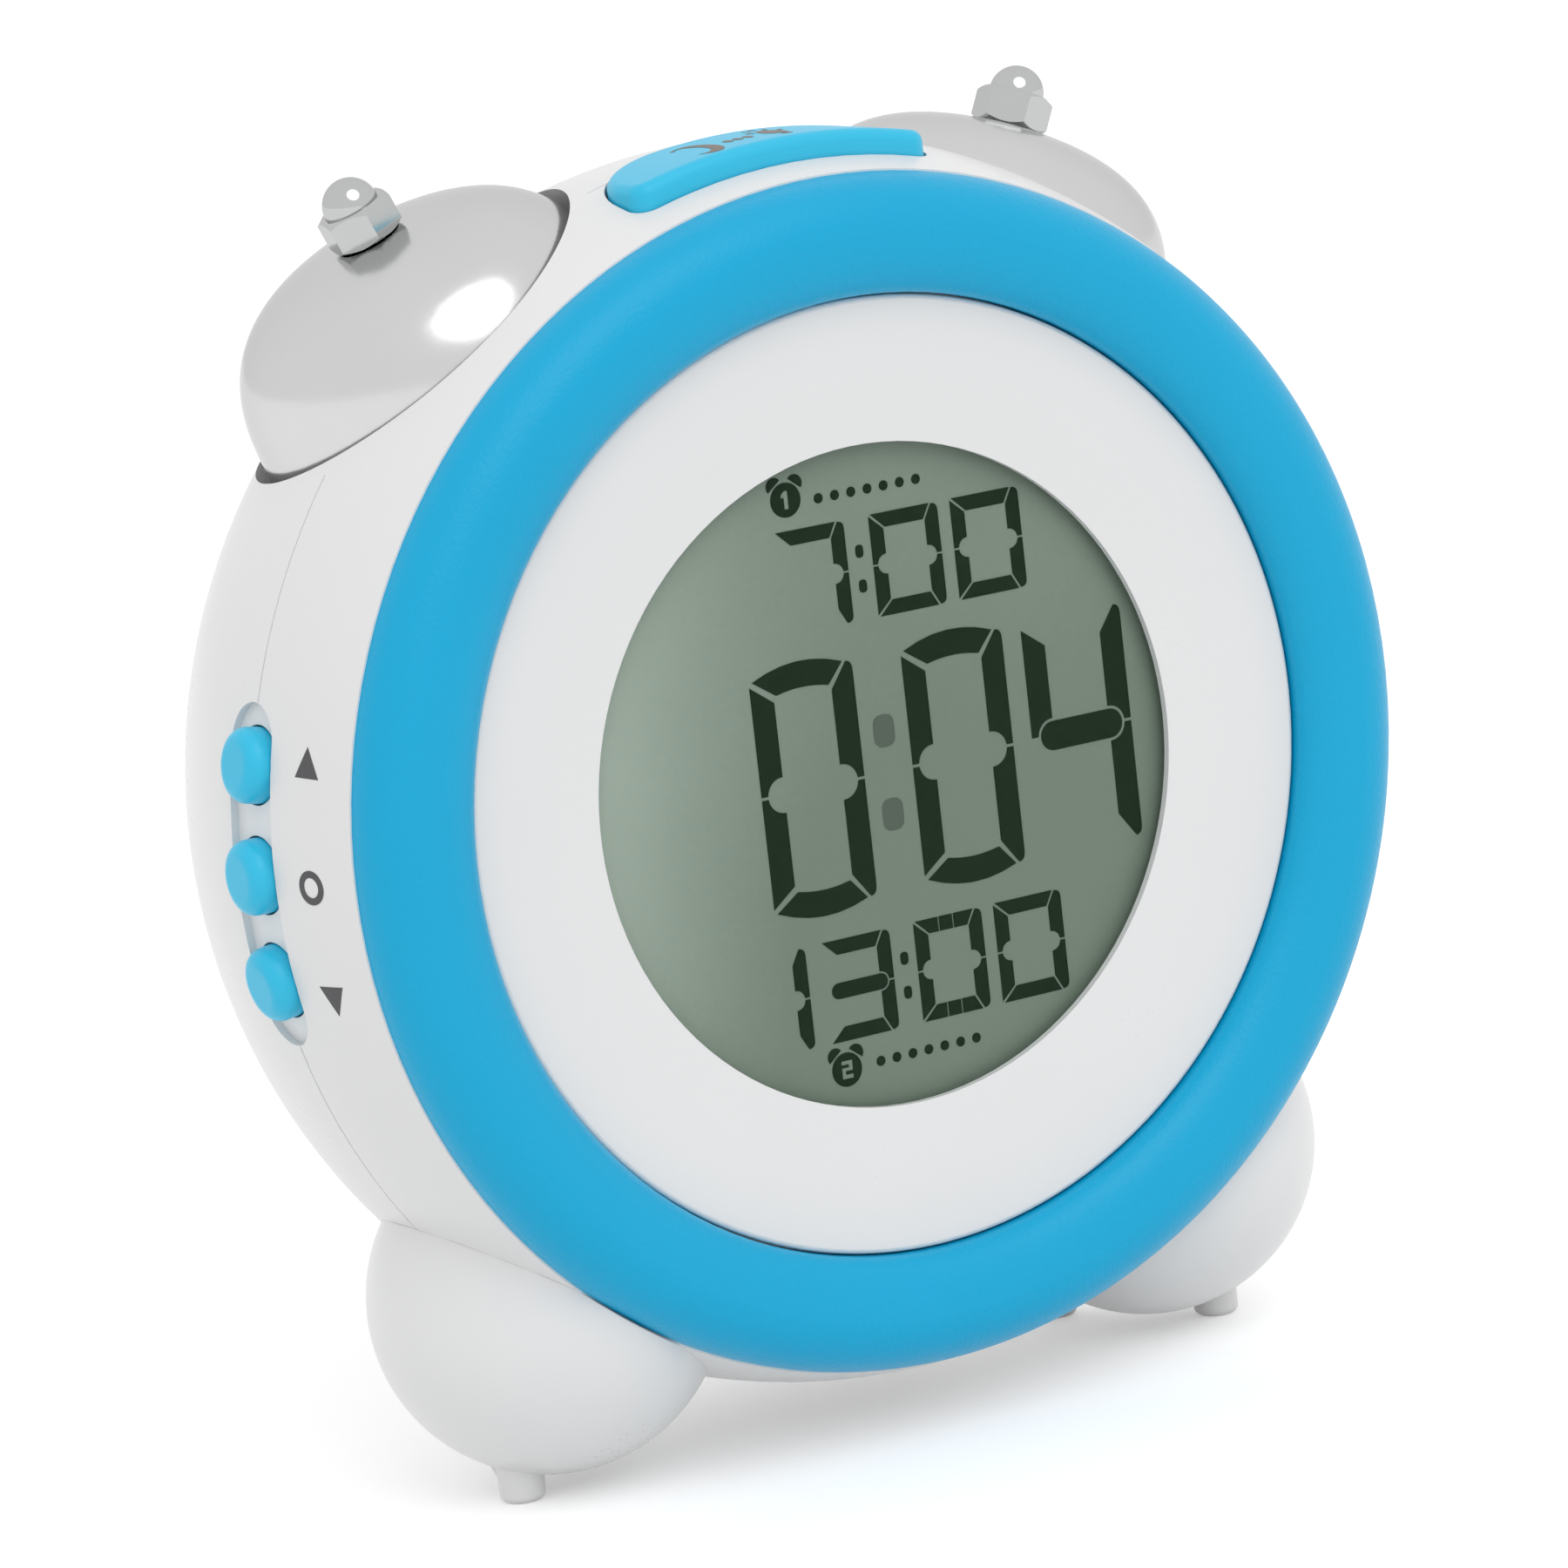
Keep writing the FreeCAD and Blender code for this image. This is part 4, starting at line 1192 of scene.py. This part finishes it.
@dataclass
class BellNuts:
    """The tall domed nut on each bell's crown, with its corners turned off at both ends."""

    palette: Palette
    crown: tuple[float, float, float] = (37.600, 26.7, 58.793)
    tilt: float = 24.3
    corner_r: float = 4.04
    end_r: float = 3.3
    height: float = 3.7
    fall: float = 0.55
    first_corner: float = 20.0
    dome_r: float = 2.85
    spare: float = 0.02
    dome_sink: float = 8.0
    steps: int = 48

    def turned(self, points: Sequence[Point2]) -> bpy.types.Object:
        """A closed profile of (radius, height) turned about the upright axis."""
        profile = [Vector((radius, 0.0, z)) * MM for radius, z in points]
        return Bench.spun(profile, Vector((0, 0, 0)), Vector((0, 0, 1)), self.steps)

    def build(self) -> None:
        """Models one nut and stands a copy of it on each bell."""
        flats = [Vector((x, z, 0)) * MM for x, z in disc(self.corner_r, 6, self.first_corner)]
        nut = Bench.plate(flats, Vector((0, 0, self.height * MM)))
        wide = self.corner_r + self.spare
        lower = [(0, 0), (self.end_r, 0), (wide, self.fall)]
        upper = [(wide, self.height - self.fall), (self.end_r, self.height), (0, self.height)]
        ends = self.turned(lower + upper)
        Bench.shaped(nut, ends, "INTERSECT")
        arc = [(r, z + self.height) for r, z in disc(self.dome_r, 14, -self.dome_sink, 90 + self.dome_sink)]
        ball = self.turned([(0, arc[0][1]), *arc[:-1], (0, self.height + self.dome_r)])
        Bench.shaped(nut, ball, "UNION")
        x, y, z = self.crown
        copies = Bench.copied(nut, [dial(-x, y, z), dial(x, y, z)], (-self.tilt, self.tilt))
        Bench.finished(
            Bench.joined(copies),
            "bell_cap_nuts",
            ROOT,
            Slot.STEEL,
            self.palette.nut,
            28.0,
            replaces=["cap_nuts", "lock_nuts"],
        )


@dataclass
class PowerBay:
    """Three cells and the coil springs behind the battery door."""

    palette: Palette
    columns: tuple[float, ...] = (-14.8, 0.0, 14.8)
    centre_y: float = 40.4
    low_z: float = -32.75
    cell_r: float = 7.1
    cell_length: float = 49.2
    tip_r: float = 2.75
    tip: float = 1.3
    sleeve: float = 0.14
    fold: float = 1.1
    spring_low_z: float = -35.55
    spring_height: float = 2.7
    spring_r: float = 3.15
    spring_top_r: float = 1.75
    wire_r: float = 0.3
    turns: int = 3

    def standing(self, points: Sequence[Point2], steps: int = 48) -> bpy.types.Object:
        """A closed profile of (radius, height) turned about an upright line through the origin."""
        return Bench.spun(
            [Vector((radius, 0.0, z)) * MM for radius, z in points], Vector((0, 0, 0)), Vector((0, 0, 1)), steps
        )

    def can(self) -> bpy.types.Object:
        """A cell's steel can with its plus tip and the dimple of its minus end."""
        r, top = self.cell_r - self.sleeve, self.cell_length - 0.25
        return self.standing(
            [
                (0, 0.25), (2.6, 0.25), (3.1, 0), (5.2, 0), (5.5, 0.2), (r - 0.4, 0.2), (r, 0.6), (r, top - 0.5),
                (r - 0.5, top), (self.tip_r + 0.9, top), (self.tip_r + 0.5, top - 0.15), (self.tip_r, top - 0.15),
                (self.tip_r, self.cell_length + self.tip - 0.3),
                (self.tip_r - 0.3, self.cell_length + self.tip), (0, self.cell_length + self.tip),
            ]
        )

    def jacket(self) -> bpy.types.Object:
        """The sleeve, folded over both ends."""
        r, s, top = self.cell_r, self.sleeve, self.cell_length
        inner = r - s
        return self.standing(
            [
                (r - self.fold, 0.02), (r - 0.35, 0.0), (r, 0.4), (r, top - 0.4), (r - 0.35, top),
                (r - 2.0, top - 0.02), (r - 2.0, top - s), (inner - 0.3, top - s), (inner, top - 0.5),
                (inner, 0.5), (inner - 0.3, s), (r - self.fold, s),
            ]
        )

    def spring(self) -> bpy.types.Object:
        """A tapered coil of round wire."""
        Bench.clear()
        bpy.ops.mesh.primitive_circle_add(
            vertices=10,
            radius=self.wire_r * MM,
            location=(self.spring_r * MM, 0, self.wire_r * MM),
            rotation=(math.pi / 2, 0, 0),
        )
        coil = bpy.context.object
        bpy.ops.object.transform_apply(location=True, rotation=True, scale=True)
        climb = self.spring_height - 2 * self.wire_r
        Bench.modified(
            coil,
            "SCREW",
            axis="Z",
            angle=FULL_TURN,
            screw_offset=climb / self.turns * MM,
            iterations=self.turns,
            steps=22,
            render_steps=22,
        )
        Bench.edit(coil)
        bpy.ops.mesh.fill_holes(sides=0)
        Bench.close()
        for vertex in coil.data.vertices:
            share = min(1.0, max(0.0, vertex.co.z / MM / self.spring_height))
            radius = math.hypot(vertex.co.x, vertex.co.y)
            inward = (self.spring_r - self.spring_top_r) * share * MM
            vertex.co.x *= (radius - inward) / radius
            vertex.co.y *= (radius - inward) / radius
        return coil

    def build(self) -> None:
        """Models one of each and copies it into each place."""
        cells = [dial(x, self.centre_y, self.low_z) for x in self.columns]
        feet = [dial(x, self.centre_y, self.spring_low_z) for x in self.columns]
        jackets = Bench.joined(Bench.copied(self.jacket(), cells))
        Bench.finished(
            jackets, "cell_jackets", ROOT, Slot.CELL, self.palette.cell, replaces=["batteries"]
        )
        cans = Bench.joined(Bench.copied(self.can(), cells))
        Bench.finished(cans, "cell_cans", ROOT, Slot.STEEL, self.palette.nut, replaces=["batteries"])
        coils = Bench.joined(Bench.copied(self.spring(), feet))
        Bench.finished(
            coils, "cell_springs", ROOT, Slot.STEEL, self.palette.nut, 60.0, replaces=["battery_springs"]
        )


@dataclass
class DoorMark:
    """The raised arrowhead in the thumb dish of the battery door."""

    palette: Palette
    dish_z: float = 15.55
    base_y: float = 48.9
    top_y: float = 49.62
    reach: float = 1.7

    def build(self) -> None:
        """Models the arrowhead with softened edges."""
        corners_xz = [(0.0, -self.reach), (self.reach, self.reach * 0.7), (0.0, self.reach * 0.25)]
        corners_xz.append((-self.reach, self.reach * 0.7))
        points = [dial(x, self.base_y, z + self.dish_z) for x, z in corners_xz]
        arrow = Bench.plate(points, Vector((0, (self.top_y - self.base_y) * MM, 0)))
        Bench.modified(arrow, "BEVEL", width=0.12 * MM, segments=2, limit_method="ANGLE")
        Bench.finished(arrow, "door_arrow", "battery_door", Slot.WHITE, self.palette.white)


# Studio


@dataclass(frozen=True)
class Studio:
    """Floor, light and camera."""

    floor_half: float = 6.0
    floor_colour: Colour = (0.86, 0.86, 0.86)
    sky: float = 0.838
    sun_strength: float = 0.70
    sun_spread: float = 46.0
    sun_from: tuple[float, float, float] = (-0.08, -0.75, 0.85)
    floor_glow: float = 0.30
    lens: float = 172.0
    film: float = 36.0
    near: float = 0.01
    far: float = 50.0
    place: tuple[float, float, float] = (-0.37496, -0.65095, 0.20237)
    right: tuple[float, float, float] = (0.85065, -0.51395, -0.11072)
    up: tuple[float, float, float] = (0.18712, 0.09917, 0.97732)
    back: tuple[float, float, float] = (-0.49131, -0.85207, 0.18052)

    def seen(self, tree: bpy.types.NodeTree) -> bpy.types.NodeSocket:
        """One where the camera looks, directly, in a reflection or through a clear piece.

        Args:
            tree: the node tree that reads it.

        Returns:
            The socket.
        """
        rays = tree.nodes.new("ShaderNodeLightPath")
        found = rays.outputs["Is Camera Ray"]
        for name in ("Is Glossy Ray", "Is Transmission Ray"):
            either = tree.nodes.new("ShaderNodeMath")
            either.operation = "MAXIMUM"
            tree.links.new(found, either.inputs[0])
            tree.links.new(rays.outputs[name], either.inputs[1])
            found = either.outputs[0]
        return found

    def world(self) -> None:
        """White where it is seen, and softer for the light it gives."""
        world = bpy.data.worlds.new("studio")
        bpy.context.scene.world = world
        world.use_nodes = True
        tree = world.node_tree
        shade = tree.nodes["Background"]
        level = tree.nodes.new("ShaderNodeMapRange")
        level.inputs["To Min"].default_value = self.sky
        level.inputs["To Max"].default_value = 1.0
        tree.links.new(self.seen(tree), level.inputs["Value"])
        shade.inputs["Color"].default_value = (1, 1, 1, 1)
        tree.links.new(level.outputs["Result"], shade.inputs["Strength"])

    def floor(self) -> None:
        """A plain pale floor."""
        Bench.clear()
        bpy.ops.mesh.primitive_grid_add(x_subdivisions=8, y_subdivisions=8, size=2 * self.floor_half)
        floor = bpy.context.object
        floor.name = "floor"
        painter = Painter("pale floor")
        seen = Signal(painter, self.seen(painter.tree))
        painter.plug(painter.shader.inputs["Emission Color"], (1.0, 1.0, 1.0))
        painter.plug(painter.shader.inputs["Emission Strength"], seen * self.floor_glow)
        floor.data.materials.append(painter.dress(Base_Color=self.floor_colour, Roughness=0.9))

    def lamps(self) -> None:
        """One wide soft lamp from the front."""
        Bench.clear()
        bpy.ops.object.light_add(type="SUN")
        sun = bpy.context.object
        sun.name = "soft_sun"
        sun.data.energy = self.sun_strength
        sun.data.angle = math.radians(self.sun_spread)
        sun.rotation_mode = "QUATERNION"
        sun.rotation_quaternion = Vector(self.sun_from).to_track_quat("Z", "Y")

    def camera(self) -> None:
        """The photograph's viewpoint."""
        data = bpy.data.cameras.new("photo_view")
        data.lens = self.lens
        data.sensor_width = self.film
        data.clip_start = self.near
        data.clip_end = self.far
        camera = bpy.data.objects.new("photo_view", data)
        bpy.context.scene.collection.objects.link(camera)
        columns = Matrix((self.right, self.up, self.back)).transposed().to_4x4()
        camera.matrix_world = Matrix.Translation(self.place) @ columns
        bpy.context.scene.camera = camera

    def build(self) -> None:
        """Makes the studio."""
        bpy.context.scene.view_settings.view_transform = "Standard"
        self.world()
        self.floor()
        self.lamps()
        self.camera()


def dress_nodes(nodes: dict[str, bpy.types.Object], palette: Palette) -> None:
    """Gives every CAD node its material.

    Args:
        nodes: the CAD nodes by name.
        palette: the materials.
    """
    for name, material in palette.by_node().items():
        nodes[name].data.materials.clear()
        nodes[name].data.materials.append(material)
        LOG.info("%s keeps its CAD shape", name)


def main() -> None:
    """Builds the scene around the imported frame."""
    logging.basicConfig(level=logging.INFO, format="%(name)s: %(message)s")
    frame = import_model()
    Bench.clear()
    Studio().build()
    palette = Palette()
    dress_nodes(frame["nodes"], palette)
    builders: list[Callable[[], None]] = [
        Display(palette).build,
        PrintedMarks(palette).build,
        CaseScrews(palette).build,
        BellNuts(palette).build,
        PowerBay(palette).build,
        DoorMark(palette).build,
    ]
    for build in builders:
        build()


if __name__ == "__main__":
    main()
